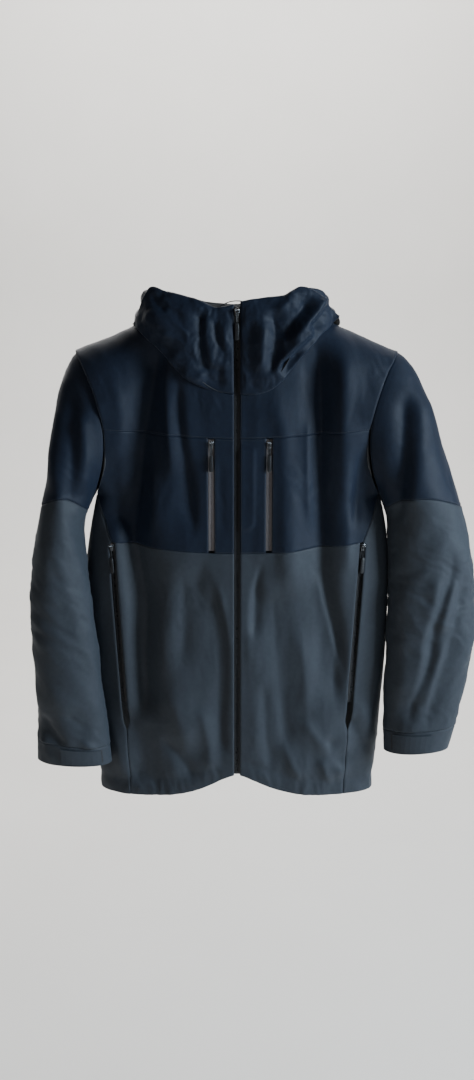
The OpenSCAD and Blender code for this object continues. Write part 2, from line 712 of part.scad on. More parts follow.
color(grey) at_chest_zip(-1, chest_zip_left_x) at_slider() puller(puller_len);  // chest_puller_left
color(grey) at_chest_zip(1, chest_zip_right_x) at_slider() puller(puller_len);  // chest_puller_right
color(grey) at_hand_zip(-1) at_slider() puller(puller_len);  // hand_puller_left
color(grey) at_hand_zip(1) at_slider() puller(puller_len);  // hand_puller_right
sleeve_upper(-1);  // sleeve_upper_left
sleeve_upper(1);  // sleeve_upper_right
sleeve_lower(-1);  // sleeve_lower_left
sleeve_lower(1);  // sleeve_lower_right
cuff(-1);  // cuff_left
cuff(1);  // cuff_right
cuff_patch(-1);  // cuff_patch_left
cuff_patch(1);  // cuff_patch_right
cuff_tab(-1);  // cuff_tab_left
cuff_tab(1);  // cuff_tab_right
hood_side(-1);  // hood_left
hood_side(1);  // hood_right
hood_centre();
hood_brim();
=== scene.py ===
import math

import bmesh
import bpy
import numpy as np
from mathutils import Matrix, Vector


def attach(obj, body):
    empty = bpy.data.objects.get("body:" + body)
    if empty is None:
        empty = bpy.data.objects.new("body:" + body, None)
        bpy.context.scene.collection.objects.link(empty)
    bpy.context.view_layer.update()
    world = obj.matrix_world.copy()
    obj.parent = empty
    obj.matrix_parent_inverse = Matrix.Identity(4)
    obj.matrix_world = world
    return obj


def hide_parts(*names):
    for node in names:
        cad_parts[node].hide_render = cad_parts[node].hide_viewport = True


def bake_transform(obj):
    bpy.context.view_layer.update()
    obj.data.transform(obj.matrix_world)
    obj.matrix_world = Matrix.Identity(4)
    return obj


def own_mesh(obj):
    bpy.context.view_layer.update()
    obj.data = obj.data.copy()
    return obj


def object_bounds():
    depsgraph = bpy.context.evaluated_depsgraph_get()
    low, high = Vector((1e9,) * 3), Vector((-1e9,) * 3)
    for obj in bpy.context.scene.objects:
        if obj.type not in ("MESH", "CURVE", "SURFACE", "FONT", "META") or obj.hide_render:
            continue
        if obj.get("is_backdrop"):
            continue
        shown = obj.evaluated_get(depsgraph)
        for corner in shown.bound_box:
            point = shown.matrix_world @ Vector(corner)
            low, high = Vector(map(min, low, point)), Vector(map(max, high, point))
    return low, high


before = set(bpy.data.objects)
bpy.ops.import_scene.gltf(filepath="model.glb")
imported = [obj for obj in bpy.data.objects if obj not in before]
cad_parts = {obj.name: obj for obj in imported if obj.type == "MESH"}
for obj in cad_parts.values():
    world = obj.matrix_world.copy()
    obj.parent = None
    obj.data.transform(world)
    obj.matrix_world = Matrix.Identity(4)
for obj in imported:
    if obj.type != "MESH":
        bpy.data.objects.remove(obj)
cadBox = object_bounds()
mm = 0.001

# Small helpers

def lerp(a, b, t):
    return a + (b - a) * t


def clamp01(t):
    return np.clip(t, 0.0, 1.0)


def smooth(t):
    t = clamp01(t)
    return t * t * (3 - 2 * t)


def power(base, exponent):
    return np.power(np.maximum(base, 0.0), exponent)


def unit(v):
    return v / np.maximum(np.linalg.norm(v, axis=-1, keepdims=True), 1e-9)


def catmull(rows, u):  # smooth curve through the rows, at places u counted in rows
    rows = np.asarray(rows, float)
    n = len(rows) - 1
    i = np.clip(np.floor(u).astype(int), 0, n - 1)
    t = (u - i)[..., None]
    a, b, c, d = rows[np.maximum(i - 1, 0)], rows[i], rows[i + 1], rows[np.minimum(i + 2, n)]
    return (2 * b + (c - a) * t + (2 * a - 5 * b + 4 * c - d) * t ** 2 + (3 * b - a - 3 * c + d) * t ** 3) / 2


def through(points, t):  # the same curve with t from 0 to 1
    return catmull(points, np.asarray(t, float) * (len(points) - 1))


def gradientNoise(x, y, seed):
    angles = np.random.default_rng(seed).uniform(0, 2 * math.pi, (64, 64))
    ix, iy = np.floor(x).astype(int), np.floor(y).astype(int)
    fx, fy = x - ix, y - iy

    def corner(dx, dy):
        a = angles[(ix + dx) % 64, (iy + dy) % 64]
        return np.cos(a) * (fx - dx) + np.sin(a) * (fy - dy)

    sx = fx ** 3 * (fx * (fx * 6 - 15) + 10)
    sy = fy ** 3 * (fy * (fy * 6 - 15) + 10)
    return lerp(lerp(corner(0, 0), corner(1, 0), sx), lerp(corner(0, 1), corner(1, 1), sx), sy) * 1.5


def crumple(x, y, seed):  # sharp little ridges between soft hollows
    bent = x + 0.5 * gradientNoise(x * 0.7, y * 0.7, seed + 1)
    first = 1 - 2 * np.abs(gradientNoise(bent, y, seed + 2))
    second = 1 - 2 * np.abs(gradientNoise(bent * 2.1, y * 2.1, seed + 3))
    return 0.7 * first + 0.3 * second


# The jacket's own surface, in millimetres

body = dict(
    length=762, waistHalfW=233, hemHalfW=217, frontDepth=56, backDepth=58, sideForward=16, waistDrop=430,
    hemArch=38, squareness=2.4, shoulderHalfW=238, shoulderDrop=72, neckHalfW=92, neckSideDrop=12,
    neckFrontDrop=131, neckBackDrop=20, armholeHeight=212, armholeHalfD=52, armholeBow=15, armpitInset=24,
    chestSeamDrop=183, colourSeamDrop=354, seamDip=13, backSeamDrop=150, armpitSoftening=40,
)
zips = dict(
    mainOpen=4.5, pocketOpen=4.4, chestLeftX=38, chestRightX=47, chestLength=166, handX=189, handLength=252,
    handLean=14, mainTop=-8, pullerReach=32, pullerHang=44, closeRun=14,
)
armMidZ = -body["shoulderDrop"] - body["armholeHeight"] / 2
armpitZ = -body["shoulderDrop"] - body["armholeHeight"]
armpitHalfW = body["shoulderHalfW"] - body["armpitInset"]
sideHemZ = -body["length"] + 5
colourZ = -body["colourSeamDrop"]
chestTopZ = -body["chestSeamDrop"] - body["seamDip"] - 1
mainBottomZ = sideHemZ + body["hemArch"] + 3


def ringX(z):
    c = (z - armMidZ) / (body["armholeHeight"] / 2)
    middle = (body["shoulderHalfW"] + armpitHalfW) / 2
    return middle + body["armpitInset"] / 2 * c + 2 * body["armholeBow"] * (c * c - 1)


def bodyHalfW(z):
    waist = -body["waistDrop"]
    above = lerp(body["waistHalfW"], armpitHalfW, power((z - waist) / (armpitZ - waist), 2))
    below = lerp(body["waistHalfW"], body["hemHalfW"], power((waist - z) / (body["length"] + waist), 1.5))
    lower = np.where(z >= waist, above, below)
    return np.where(z >= armpitZ, ringX(np.minimum(z, -body["shoulderDrop"])), lower)


def edgeDepth(z):
    c = (z - armMidZ) / (body["armholeHeight"] / 2)
    return body["armholeHalfD"] * np.where(z >= armMidZ, 1.0, np.sqrt(np.maximum(0, 1 - c * c)))


def shoulderZ(x):
    slope = (body["shoulderDrop"] - body["neckSideDrop"]) / (body["shoulderHalfW"] - body["neckHalfW"])
    return -body["neckSideDrop"] - np.maximum(0, np.abs(x) - body["neckHalfW"]) * slope


def outDepth(x, z, depth):
    t = clamp01((shoulderZ(x) - z) / (body["armholeHeight"] / 2))
    over = np.sqrt(1 - (1 - t) ** 2)
    share = np.minimum(1, np.abs(x) / bodyHalfW(z))
    run = body["armpitSoftening"]  # away from the armhole the armpit's edge is softened
    softened = body["armholeHalfD"] * smooth((z - armpitZ + run) / (body["armholeHeight"] / 2 + run))
    edge = lerp(softened, edgeDepth(z), power(share, 12))
    return over * lerp(edge, depth, power(1 - power(share, body["squareness"]), 1 / body["squareness"]))


def frontPoint(x, z):
    x, z = np.broadcast_arrays(np.asarray(x, float), np.asarray(z, float))
    return np.stack([x, -body["sideForward"] - outDepth(x, z, body["frontDepth"]), z], -1)


def backPoint(x, z):
    x, z = np.broadcast_arrays(np.asarray(x, float), np.asarray(z, float))
    return np.stack([x, -body["sideForward"] + outDepth(x, z, body["backDepth"]), z], -1)


def dipAt(x):
    return body["seamDip"] * np.cos(math.pi / 2 * clamp01(np.abs(x) / armpitHalfW))


def chestSeamZ(x):
    return -body["chestSeamDrop"] - dipAt(x)


def colourSeamZ(x):
    return colourZ - dipAt(x)


def frontHemZ(x):
    return sideHemZ + body["hemArch"] * np.exp(-power(np.abs(x) / 75, 1.5))


def backHemZ(x):
    return lerp(sideHemZ, -body["length"], np.cos(math.pi / 2 * clamp01(np.abs(x) / body["hemHalfW"])))


def handZipX(z):
    return zips["handX"] - zips["handLean"] * (colourZ - z) / zips["handLength"]


def panelEdge(z):
    between = lerp(bodyHalfW(z), handZipX(colourZ), power((armpitZ - z) / (armpitZ - colourZ), 0.8))
    lower = np.where(z >= colourZ, between, handZipX(z))
    return np.where(z >= armpitZ, ringX(np.minimum(z, -body["shoulderDrop"])), lower)


def edgeGap(z):  # the opening closes below the zip, past a puller that hangs there
    low = colourZ - zips["handLength"] - zips["pullerReach"]
    return np.where(z > colourZ, 0.0, zips["pocketOpen"] * clamp01((z - low) / zips["closeRun"] + 1))


# Folds

def fold(line, height, left, right=None, soft=4, fade=40, side="front"):
    return dict(line=line, height=height, left=left, right=right or left, soft=soft, fade=fade, side=side)


def foldHeight(x, z, f):
    # A fold runs along a line and falls away differently on its left and its right
    curve = through(f["line"], np.linspace(0, 1, 6 * len(f["line"])))
    lengths = np.linalg.norm(np.diff(curve, axis=0), axis=1)
    start = np.concatenate([[0], np.cumsum(lengths)])
    best = np.full(x.shape, 1e9)
    signed, run = np.zeros(x.shape), np.zeros(x.shape)
    for i in range(len(curve) - 1):
        a, d = curve[i], curve[i + 1] - curve[i]
        t = clamp01(((x - a[0]) * d[0] + (z - a[1]) * d[1]) / max(d @ d, 1e-9))
        px, pz = x - a[0] - t * d[0], z - a[1] - t * d[1]
        dist = np.hypot(px, pz)
        near = dist < best
        best = np.where(near, dist, best)
        cross = -(d[0] * pz - d[1] * px)
        signed = np.where(near, np.sign(cross) * dist, signed)
        run = np.where(near, start[i] + t * lengths[i], run)
    down = -1 if curve[-1][1] < curve[0][1] else 1
    signed = signed * down
    width = np.where(signed < 0, f["left"], f["right"])
    eased = np.sqrt(signed ** 2 + f["soft"] ** 2) - f["soft"]
    ends = smooth(run / f["fade"]) * smooth((start[-1] - run) / f["fade"])
    return f["height"] * np.exp(-power(eased / width, 1.3)) * ends


bodyFolds = [
    # left chest and front: the long hollow that starts beside the neck
    fold([(-112, -40), (-122, -110), (-138, -196), (-151, -272), (-160, -343), (-150, -400), (-143, -454),
          (-147, -530), (-142, -640)], -23, 40, 22, soft=2.5, fade=60),
    fold([(-103, -70), (-103, -120), (-100, -190), (-94, -260)], 9, 7, 18, soft=1.2, fade=50),
    fold([(-86, -90), (-82, -180), (-70, -270), (-62, -350)], -8, 22, 7, soft=1.2, fade=60),
    fold([(-128, -230), (-124, -300), (-128, -352)], 5, 6, 16, soft=1.2, fade=40),
    fold([(-190, -250), (-182, -300), (-180, -352)], -6, 12, 10, soft=2, fade=40),
    fold([(-118, -420), (-112, -520), (-118, -620)], 5, 16, 22, soft=2, fade=70),
    fold([(-84, -380), (-78, -470), (-88, -560)], -5, 12, 18, soft=1.5, fade=60),
    fold([(-176, -400), (-172, -500), (-168, -600)], 5, 9, 12, soft=1.5, fade=60),
    fold([(-120, -655), (-90, -690), (-62, -735)], -5, 10, 12, soft=1.5, fade=30),
    fold([(-200, -640), (-184, -690), (-180, -735)], 5, 9, 10, soft=1.5, fade=30),
    fold([(-60, -600), (-44, -660), (-40, -725)], 4, 9, 12, soft=1.5, fade=34),
    fold([(-200, -120), (-197, -190), (-190, -250)], 6, 9, 26, soft=3, fade=40),
    fold([(-176, -100), (-168, -180), (-172, -300)], 4, 12, 14, soft=3, fade=50),
    fold([(-56, -372), (-36, -430), (-20, -490), (-17, -560), (-22, -640), (-14, -700)],
         -7, 26, 7, soft=1.5, fade=40),
    fold([(-42, -380), (-24, -440), (-10, -510), (-8, -600)], 3.5, 8, 6, soft=1.5, fade=40),
    fold([(-24, -220), (-23, -300), (-17, -345)], -2, 8, 6, soft=1.5, fade=30),
    fold([(-182, -600), (-158, -650), (-150, -700), (-160, -745)], -8, 18, 30, soft=3, fade=30),
    fold([(-120, -560), (-90, -620), (-70, -690)], 8, 18, 34, soft=3, fade=50),
    # right chest and front
    fold([(112, -40), (121, -110), (122, -198), (124, -280), (130, -355), (133, -420), (152, -500),
          (168, -570), (176, -620)], -19, 44, 14, soft=2, fade=60),
    fold([(152, -60), (153, -140), (158, -230), (166, -330), (176, -420)], 6, 12, 18, soft=4, fade=50),
    fold([(60, -110), (66, -180), (72, -260), (76, -350), (82, -450)], 9, 24, 30, soft=5, fade=60),
    fold([(104, -150), (104, -240), (110, -340)], 4, 6, 9, soft=1, fade=50),
    fold([(186, -200), (180, -270), (178, -345)], -6, 9, 9, soft=1.5, fade=40),
    fold([(56, -400), (60, -500), (72, -620), (84, -700)], -6, 14, 26, soft=2, fade=70),
    fold([(96, -470), (104, -560), (110, -640)], 5, 12, 14, soft=1.5, fade=60),
    fold([(40, -560), (44, -640), (54, -720)], -4, 8, 12, soft=1.5, fade=40),
    fold([(70, -660), (84, -700), (104, -738)], 4, 8, 10, soft=1.2, fade=26),
    fold([(128, -690), (136, -715), (150, -742)], 4, 6, 8, soft=1.2, fade=18),
    fold([(46, -366), (31, -410), (26, -450), (25, -505)], -8, 7, 16, soft=1.2, fade=34),
    fold([(38, -372), (22, -420), (16, -480), (17, -560)], 3, 6, 8, soft=1.5, fade=40),
    fold([(118, -392), (135, -460), (156, -540), (170, -600)], 5, 10, 8, soft=1.5, fade=40),
    fold([(98, -620), (122, -660), (150, -690), (165, -740)], 6, 14, 10, soft=2, fade=30),
    fold([(140, -655), (150, -690), (172, -715)], -6, 8, 12, soft=2, fade=20),
    fold([(165, -590), (190, -615), (214, -655)], 5, 9, 9, soft=2, fade=20),
    fold([(160, -620), (185, -650), (205, -700)], -5, 9, 9, soft=2, fade=25),
    fold([(214, -150), (200, -200), (196, -260), (206, -320)], -8, 14, 16, soft=3, fade=40),
    fold([(222, -100), (212, -150), (203, -190)], 7, 14, 12, soft=3, fade=30),
    fold([(-212, -140), (-200, -200), (-204, -270)], -6, 12, 14, soft=3, fade=40),
    # back
    fold([(-90, -60), (-112, -220), (-120, -400), (-105, -600)], -12, 40, 60, soft=8, fade=80, side="back"),
    fold([(80, -60), (104, -200), (110, -420), (124, -640)], -13, 50, 40, soft=8, fade=80, side="back"),
    fold([(-10, -240), (6, -400), (-6, -560), (10, -700)], -8, 40, 34, soft=10, fade=80, side="back"),
    fold([(-200, -120), (-180, -260), (-176, -420)], 7, 20, 24, soft=5, fade=60, side="back"),
    fold([(196, -120), (178, -280), (180, -460)], 7, 22, 18, soft=5, fade=60, side="back"),
    fold([(-60, -500), (-50, -620), (-64, -720)], 6, 18, 22, soft=5, fade=50, side="back"),
    fold([(56, -470), (60, -600), (48, -730)], 6, 20, 16, soft=5, fade=50, side="back"),
]


def foldSum(points, normals, folds):
    x, z = points[..., 0], points[..., 2]
    towards = normals[..., 1]
    front, back = smooth(-towards * 1.6), smooth(towards * 1.6)
    total = np.zeros(x.shape)
    for f in folds:
        total += foldHeight(x, z, f) * (front if f["side"] == "front" else back)
    return total


def smallWrinkles(points, seed, size=1.0):
    x, y, z = points[..., 0], points[..., 1], points[..., 2]
    broad = gradientNoise(x / 58 + y / 70, z / 210, seed) * 2.6
    middle = gradientNoise(x / 24 + y / 30, z / 90, seed + 7) * 0.9
    fine = crumple(x / 30 + y / 34, z / 64, seed + 11) * 0.42
    pinched = power(clamp01(0.35 + gradientNoise(x / 60, z / 80, seed + 19)), 2)
    small = crumple((x + 0.35 * z) / 16, (z - 0.3 * x) / 30, seed + 23) * 1.0 * pinched
    return size * (broad + middle + fine + small)


def hemGather(points, normals):
    x, y, z = points[..., 0], points[..., 1], points[..., 2]
    low = np.where(normals[..., 1] < 0, frontHemZ(x), backHemZ(x))
    near = np.exp(-power((z - low) / 34, 1.6))
    strength = 0.25 + clamp01(0.5 + 1.2 * gradientNoise(x / 45, z * 0 + 3, 37))
    slant = x + 0.25 * z
    ripple = crumple(slant / 15 + y / 20, z / 42, 31) * 1.1
    ripple = ripple + gradientNoise(slant / 8 + y / 11, z / 26, 33) * 0.8
    drawn = -3.0 * np.exp(-power(np.abs(z - low - 22) / 9, 2))
    return near * ripple * strength + drawn * 0.5


# Building sheets of cloth

def spaced(length, cell, low=True, high=True):  # shares from 0 to 1 with closer rows beside a seam
    edge = [0, 1.0, 2.0, 3.4, 5.4]
    start = edge if low else [0]
    end = [length - e for e in reversed(edge)] if high else [length]
    inner = np.linspace(start[-1], end[0], max(2, int(round((end[0] - start[-1]) / cell)) + 1))[1:-1]
    return np.concatenate([start, inner, end]) / length


def gridNormals(points, wrap=False, core=None, like=None):
    if wrap:
        du = np.roll(points, -1, 0) - np.roll(points, 1, 0)
    else:
        du = np.gradient(points, axis=0)
    dv = np.gradient(points, axis=1)
    n = unit(np.cross(du, dv))
    if like is not None:
        return n if (n * like).sum() > 0 else -n
    if core is not None:
        i, j = points.shape[0] // 2, points.shape[1] // 2
        if np.dot(n[i, j], points[i, j] - np.asarray(core, float)) < 0:
            n = -n
    return n


def edgeDistances(points):
    # Distances along the cloth from the sheet's four edges: u low, u high, v low, v high
    du = np.linalg.norm(np.diff(points, axis=0), axis=2)
    dv = np.linalg.norm(np.diff(points, axis=1), axis=2)
    u = np.concatenate([np.zeros((1, points.shape[1])), np.cumsum(du, 0)], 0)
    v = np.concatenate([np.zeros((points.shape[0], 1)), np.cumsum(dv, 1)], 1)
    return u, u[-1:] - u, v, v[:, -1:] - v


def seamDip(points, seams):
    total = np.zeros(points.shape[:2])
    for distance, wanted in zip(edgeDistances(points), seams):
        if wanted:
            groove = -0.75 * np.exp(-((distance / 1.2) ** 2))
            lip = 0.2 * np.exp(-(((distance - 3.2) / 1.5) ** 2))
            total += wanted * (groove + lip)
    return total


def sheetMesh(name, points, normals, thick=0.7, wrap=False, materials=()):
    nu, nv = points.shape[:2]
    outer = points * mm
    inner = (points - normals * thick) * mm
    verts = np.concatenate([outer.reshape(-1, 3), inner.reshape(-1, 3)])
    columns = nu if wrap else nu - 1
    i = np.arange(columns)[:, None]
    j = np.arange(nv - 1)[None, :]
    k = (i + 1) % nu
    a, b, c, d = i * nv + j, k * nv + j, k * nv + j + 1, i * nv + j + 1
    quads = np.stack([a, b, c, d], -1).reshape(-1, 4)
    corners = verts[quads]
    faceNormals = np.cross(corners[:, 1] - corners[:, 0], corners[:, 2] - corners[:, 0])
    turned = (faceNormals * normals.reshape(-1, 3)[quads[:, 0]]).sum() < 0
    if turned:
        quads = quads[:, ::-1]
    shift = nu * nv
    under = quads[:, ::-1] + shift
    rims = []

    def rim(first, second):  # first and second are neighbouring outer vertices along an edge
        q = np.stack([first, second, second + shift, first + shift], -1)
        rims.append(q if not turned else q[:, ::-1])

    ii = np.arange(columns)
    nxt = (ii + 1) % nu
    rim(nxt * nv, ii * nv)
    rim(ii * nv + nv - 1, nxt * nv + nv - 1)
    if not wrap:
        jj = np.arange(nv - 1)
        rim(jj, jj + 1)
        rim((nu - 1) * nv + jj + 1, (nu - 1) * nv + jj)
    rimFaces = np.concatenate(rims)
    faces = np.concatenate([quads, under, rimFaces])
    counts = (len(quads), len(under), len(rimFaces))
    kinds = np.repeat([0, 1, 0], counts)
    return makeObject(name, verts, faces, materials, kinds)


def makeObject(name, verts, faces, materials, kinds=None):
    mesh = bpy.data.meshes.new(name)
    mesh.from_pydata(np.asarray(verts).tolist(), [], [list(map(int, f)) for f in faces])
    for m in materials:
        mesh.materials.append(m)
    if kinds is not None and len(materials) > 1:
        mesh.polygons.foreach_set("material_index", np.asarray(kinds, np.int32))
    mesh.polygons.foreach_set("use_smooth", np.ones(len(mesh.polygons), bool))
    mesh.update()
    obj = bpy.data.objects.new(name, mesh)
    bpy.context.scene.collection.objects.link(obj)
    return obj


flatSizes = {}
stitchRows = {}


def keepStitches(group, points, normals, seams):  # a row of stitches runs beside each sewn edge
    raised = points + normals * 0.12
    paths = (raised[2], raised[-3], raised[:, 2], raised[:, -3])
    for path, wanted in zip(paths, seams):
        if wanted:
            stitchRows.setdefault(group, []).append(path)


def clothArea(points):
    du = points[1:, :-1] - points[:-1, :-1]
    dv = points[:-1, 1:] - points[:-1, :-1]
    return float(np.linalg.norm(np.cross(du, dv), axis=2).sum()) * mm * mm


def declareSheet(piece, points, wrap=False):
    ring = np.concatenate([points, points[:1]]) if wrap else points
    width = np.linalg.norm(np.diff(ring, axis=0), axis=2).sum(0).max() * mm
    length = np.linalg.norm(np.diff(points, axis=1), axis=2).sum(1).max() * mm
    area = clothArea(ring)
    area = min(area, width * length)
    flatSizes[piece.name] = (round(width, 3), round(length, 3), round(area, 4))


# Materials

class Socket:  # a shader value that can be used in sums
    def __init__(self, maker, socket):
        self.maker, self.socket = maker, socket

    def maths(self, operation, a, b=None):
        values = {0: a} if b is None else {0: a, 1: b}
        made = self.maker.node("ShaderNodeMath", dict(operation=operation), values)
        return Socket(self.maker, made.outputs[0])

    def __add__(self, other):
        return self.maths("ADD", self, other)

    def __radd__(self, other):
        return self.maths("ADD", other, self)

    def __sub__(self, other):
        return self.maths("SUBTRACT", self, other)

    def __rsub__(self, other):
        return self.maths("SUBTRACT", other, self)

    def __mul__(self, other):
        return self.maths("MULTIPLY", self, other)

    def __rmul__(self, other):
        return self.maths("MULTIPLY", other, self)

    def __pow__(self, other):
        return self.maths("POWER", self, other)


class Finish:  # one material and the few calls that build its nodes
    def __init__(self, name, **shader):
        self.material = bpy.data.materials.new(name)
        self.material.use_nodes = True
        self.tree = self.material.node_tree
        self.shader = self.tree.nodes["Principled BSDF"]
        for key, value in shader.items():
            self.shader.inputs[key.replace("_", " ").title().replace("Ior", "IOR")].default_value = value
        self.place = Socket(self, self.node("ShaderNodeTexCoord").outputs["Object"])

    def node(self, kind, settings=None, values=None):
        n = self.tree.nodes.new(kind)
        for key, value in (settings or {}).items():
            if key == "stops":
                ramp = n.color_ramp
                ramp.elements[0].position, ramp.elements[0].color = value[0]
                ramp.elements[1].position, ramp.elements[1].color = value[-1]
                for position, colour in value[1:-1]:
                    ramp.elements.new(position).color = colour
            else:
                setattr(n, key, value)
        for key, value in (values or {}).items():
            if isinstance(value, Socket):
                self.tree.links.new(value.socket, n.inputs[key])
            else:
                n.inputs[key].default_value = value
        return n

    def noise(self, scale, detail=2.0, stretch=(1, 1, 1), rough=0.5):
        place = self.place
        if stretch != (1, 1, 1):
            stretched = self.node("ShaderNodeMapping", None, {"Vector": place, "Scale": stretch})
            place = Socket(self, stretched.outputs[0])
        values = {"Vector": place, "Scale": scale, "Detail": detail, "Roughness": rough}
        made = self.node("ShaderNodeTexNoise", None, values)
        return Socket(self, made.outputs["Fac"])

    def weave(self, pitch, direction):  # ribs every pitch metres along X, Y or Z
        made = self.node(
            "ShaderNodeTexWave", dict(wave_type="BANDS", bands_direction=direction, wave_profile="SIN"),
            {"Vector": self.place, "Scale": 1 / pitch / 20 * 2 * math.pi, "Distortion": 0.6, "Detail": 1.0,
             "Detail Scale": 1.5})
        return Socket(self, made.outputs["Fac"])

    def blendColours(self, factor, first, second):
        n = self.node("ShaderNodeMix", dict(data_type="RGBA"), {"Factor": factor})
        n.inputs[6].default_value, n.inputs[7].default_value = (*first, 1), (*second, 1)
        return Socket(self, n.outputs[2])

    def ramp(self, factor, low, high):
        n = self.node("ShaderNodeMapRange", None, {"Value": factor, "From Min": low, "From Max": high})
        return Socket(self, n.outputs[0])

    def feed(self, name, value):
        self.tree.links.new(value.socket, self.shader.inputs[name])

    def bump(self, height, strength, distance, below=None):
        values = {"Height": height, "Strength": strength, "Distance": distance}
        n = self.node("ShaderNodeBump", None, values)
        if below is not None:
            self.tree.links.new(below.outputs[0], n.inputs["Normal"])
        self.tree.links.new(n.outputs[0], self.shader.inputs["Normal"])
        return n


def shellFabric(name, dark, light, roughness=0.6, sheen=0.06):
    f = Finish(name, roughness=roughness, sheen_weight=sheen, sheen_roughness=0.45, specular_ior_level=0.24)
    f.shader.inputs["Sheen Tint"].default_value = (0.75, 0.86, 1.0, 1)
    mottled = 0.55 * f.noise(9, 3) + 0.45 * f.noise(160, 2)
    threads = f.weave(0.0011, "X") * f.weave(0.0011, "Z")
    shade = f.ramp(mottled * 0.85 + threads * 0.25, 0.3, 0.8)
    f.feed("Base Color", f.blendColours(shade, dark, light))
    f.feed("Roughness", roughness - 0.08 + 0.16 * f.noise(38, 3))
    first = f.bump(f.noise(22, 2, (1, 1, 0.4), 0.5), 0.22, 0.004)
    second = f.bump(f.noise(95, 2, (1, 1, 0.7)), 0.2, 0.0010, first)
    f.bump(threads, 0.22, 0.0003, second)
    return f.material


def plainCloth(name, dark, light, roughness, scale=400, bumpDistance=0.0005):
    f = Finish(name, roughness=roughness, sheen_weight=0.15)
    f.feed("Base Color", f.blendColours(f.ramp(f.noise(scale, 3), 0.3, 0.7), dark, light))
    f.bump(f.noise(scale * 2, 2), 0.4, bumpDistance)
    return f.material


def webbing(name, dark, light, pitch=0.0016):
    f = Finish(name, roughness=0.7, sheen_weight=0.2)
    ribs = f.weave(pitch, "Z") * 0.6 + f.weave(pitch, "X") * 0.4
    f.feed("Base Color", f.blendColours(ribs, dark, light))
    f.bump(ribs, 0.5, 0.0004)
    return f.material


def moulded(name, dark, light, roughness=0.42, metallic=0.0):
    f = Finish(name, metallic=metallic, roughness=roughness)
    grain = f.noise(900, 2)
    f.feed("Base Color", f.blendColours(f.ramp(grain * 0.5 + f.noise(120, 3) * 0.5, 0.35, 0.65), dark, light))
    f.feed("Roughness", roughness - 0.06 + 0.14 * f.noise(260, 3))
    f.bump(grain, 0.18, 0.0002)
    return f.material


navyShell = shellFabric("navyShell", (0.0036, 0.0080, 0.0195), (0.0072, 0.0150, 0.0345))
greyShell = shellFabric("greyShell", (0.030, 0.037, 0.048), (0.043, 0.053, 0.068))
liningCloth = plainCloth("liningCloth", (0.024, 0.027, 0.032), (0.040, 0.044, 0.051), 0.6)
brushedCloth = plainCloth("brushedCloth", (0.020, 0.022, 0.027), (0.036, 0.039, 0.046), 0.9, 260, 0.001)
loopWeb = webbing("loopWeb", (0.010, 0.010, 0.012), (0.035, 0.035, 0.04))
blackTape = webbing("blackTape", (0.006, 0.006, 0.008), (0.022, 0.022, 0.026), 0.0009)
paleTape = webbing("paleTape", (0.16, 0.145, 0.15), (0.27, 0.245, 0.25), 0.0009)
coilPlastic = moulded("coilPlastic", (0.008, 0.009, 0.011), (0.02, 0.021, 0.024), 0.28)
paleCoil = moulded("paleCoil", (0.2, 0.18, 0.185), (0.33, 0.3, 0.31), 0.35)
zipMetal = moulded("zipMetal", (0.16, 0.165, 0.175), (0.34, 0.35, 0.37), 0.26, 1.0)
darkGrip = moulded("darkGrip", (0.008, 0.009, 0.011), (0.018, 0.02, 0.024), 0.42)
blackPlastic = moulded("blackPlastic", (0.008, 0.008, 0.009), (0.02, 0.02, 0.022), 0.4)
springSteel = moulded("springSteel", (0.45, 0.45, 0.46), (0.62, 0.62, 0.64), 0.25, 1.0)
patchPile = plainCloth("patchPile", (0.012, 0.012, 0.014), (0.04, 0.04, 0.045), 0.95, 700, 0.0012)
elasticCord = webbing("elasticCord", (0.012, 0.012, 0.014), (0.03, 0.03, 0.034), 0.001)
stitchThread = plainCloth("stitchThread", (0.02, 0.026, 0.038), (0.045, 0.055, 0.075), 0.7, 900)
print("materials ready")


# Body panels

cell = 3.2


def calmByZips(points):  # folds die away beside a zip, which stays straight
    x, z = points[..., 0], points[..., 2]
    front = points[..., 1] < -body["sideForward"]
    main = smooth((np.abs(x) - 4) / 26)
    share = np.where(front, lerp(0.12, 1, main), 1)
    for side, zipX in ((-1, zips["chestLeftX"]), (1, zips["chestRightX"])):
        low = chestTopZ - zips["chestLength"] - zips["pullerHang"]
        beyond = np.maximum(0, np.maximum(z - chestTopZ, low - z)) * 0.6
        away = np.hypot(x - side * zipX, beyond)
        share = share * np.where(front, lerp(0.25, 1, smooth((away - 4) / 22)), 1)
    low = colourZ - zips["handLength"]
    beyond = np.maximum(0, np.maximum(z - colourZ, low - z)) * 0.7
    away = np.hypot(np.abs(x) - handZipX(np.clip(z, low, colourZ)), beyond)
    return share * np.where(front, lerp(0.15, 1, smooth((away - 5) / 24)), 1)


def bodySheet(name, points, shell, seams, core=(0, -16, -419), extra=None, sewn=None):
    normals = gridNormals(points, core=core)
    lift = bodyLift(points, normals)
    lift = lift + seamDip(points, seams)
    if extra is not None:
        lift = lift + extra(points)
    shaped = points + normals * lift[..., None]
    outward = gridNormals(shaped, like=normals)
    piece = sheetMesh(name + "_cloth", shaped, outward, materials=(shell, liningCloth))
    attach(piece, "root")
    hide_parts(name)
    declareSheet(piece, shaped)
    if sewn is not None:
        keepStitches("navy" if shell == navyShell else "grey", shaped, outward, sewn)
    return shaped


def bodyLift(points, normals):  # folds, wrinkles and the gathered hem together
    flatX, foldRun = 226, 62  # folds grow from the flat outer sides over this run
    share = lerp(0.12, 1, smooth((flatX - np.abs(points[..., 0])) / foldRun))
    lift = foldSum(points, normals, bodyFolds) * share
    lift = lift + smallWrinkles(points, 5) + hemGather(points, normals)
    return lift * calmByZips(points)


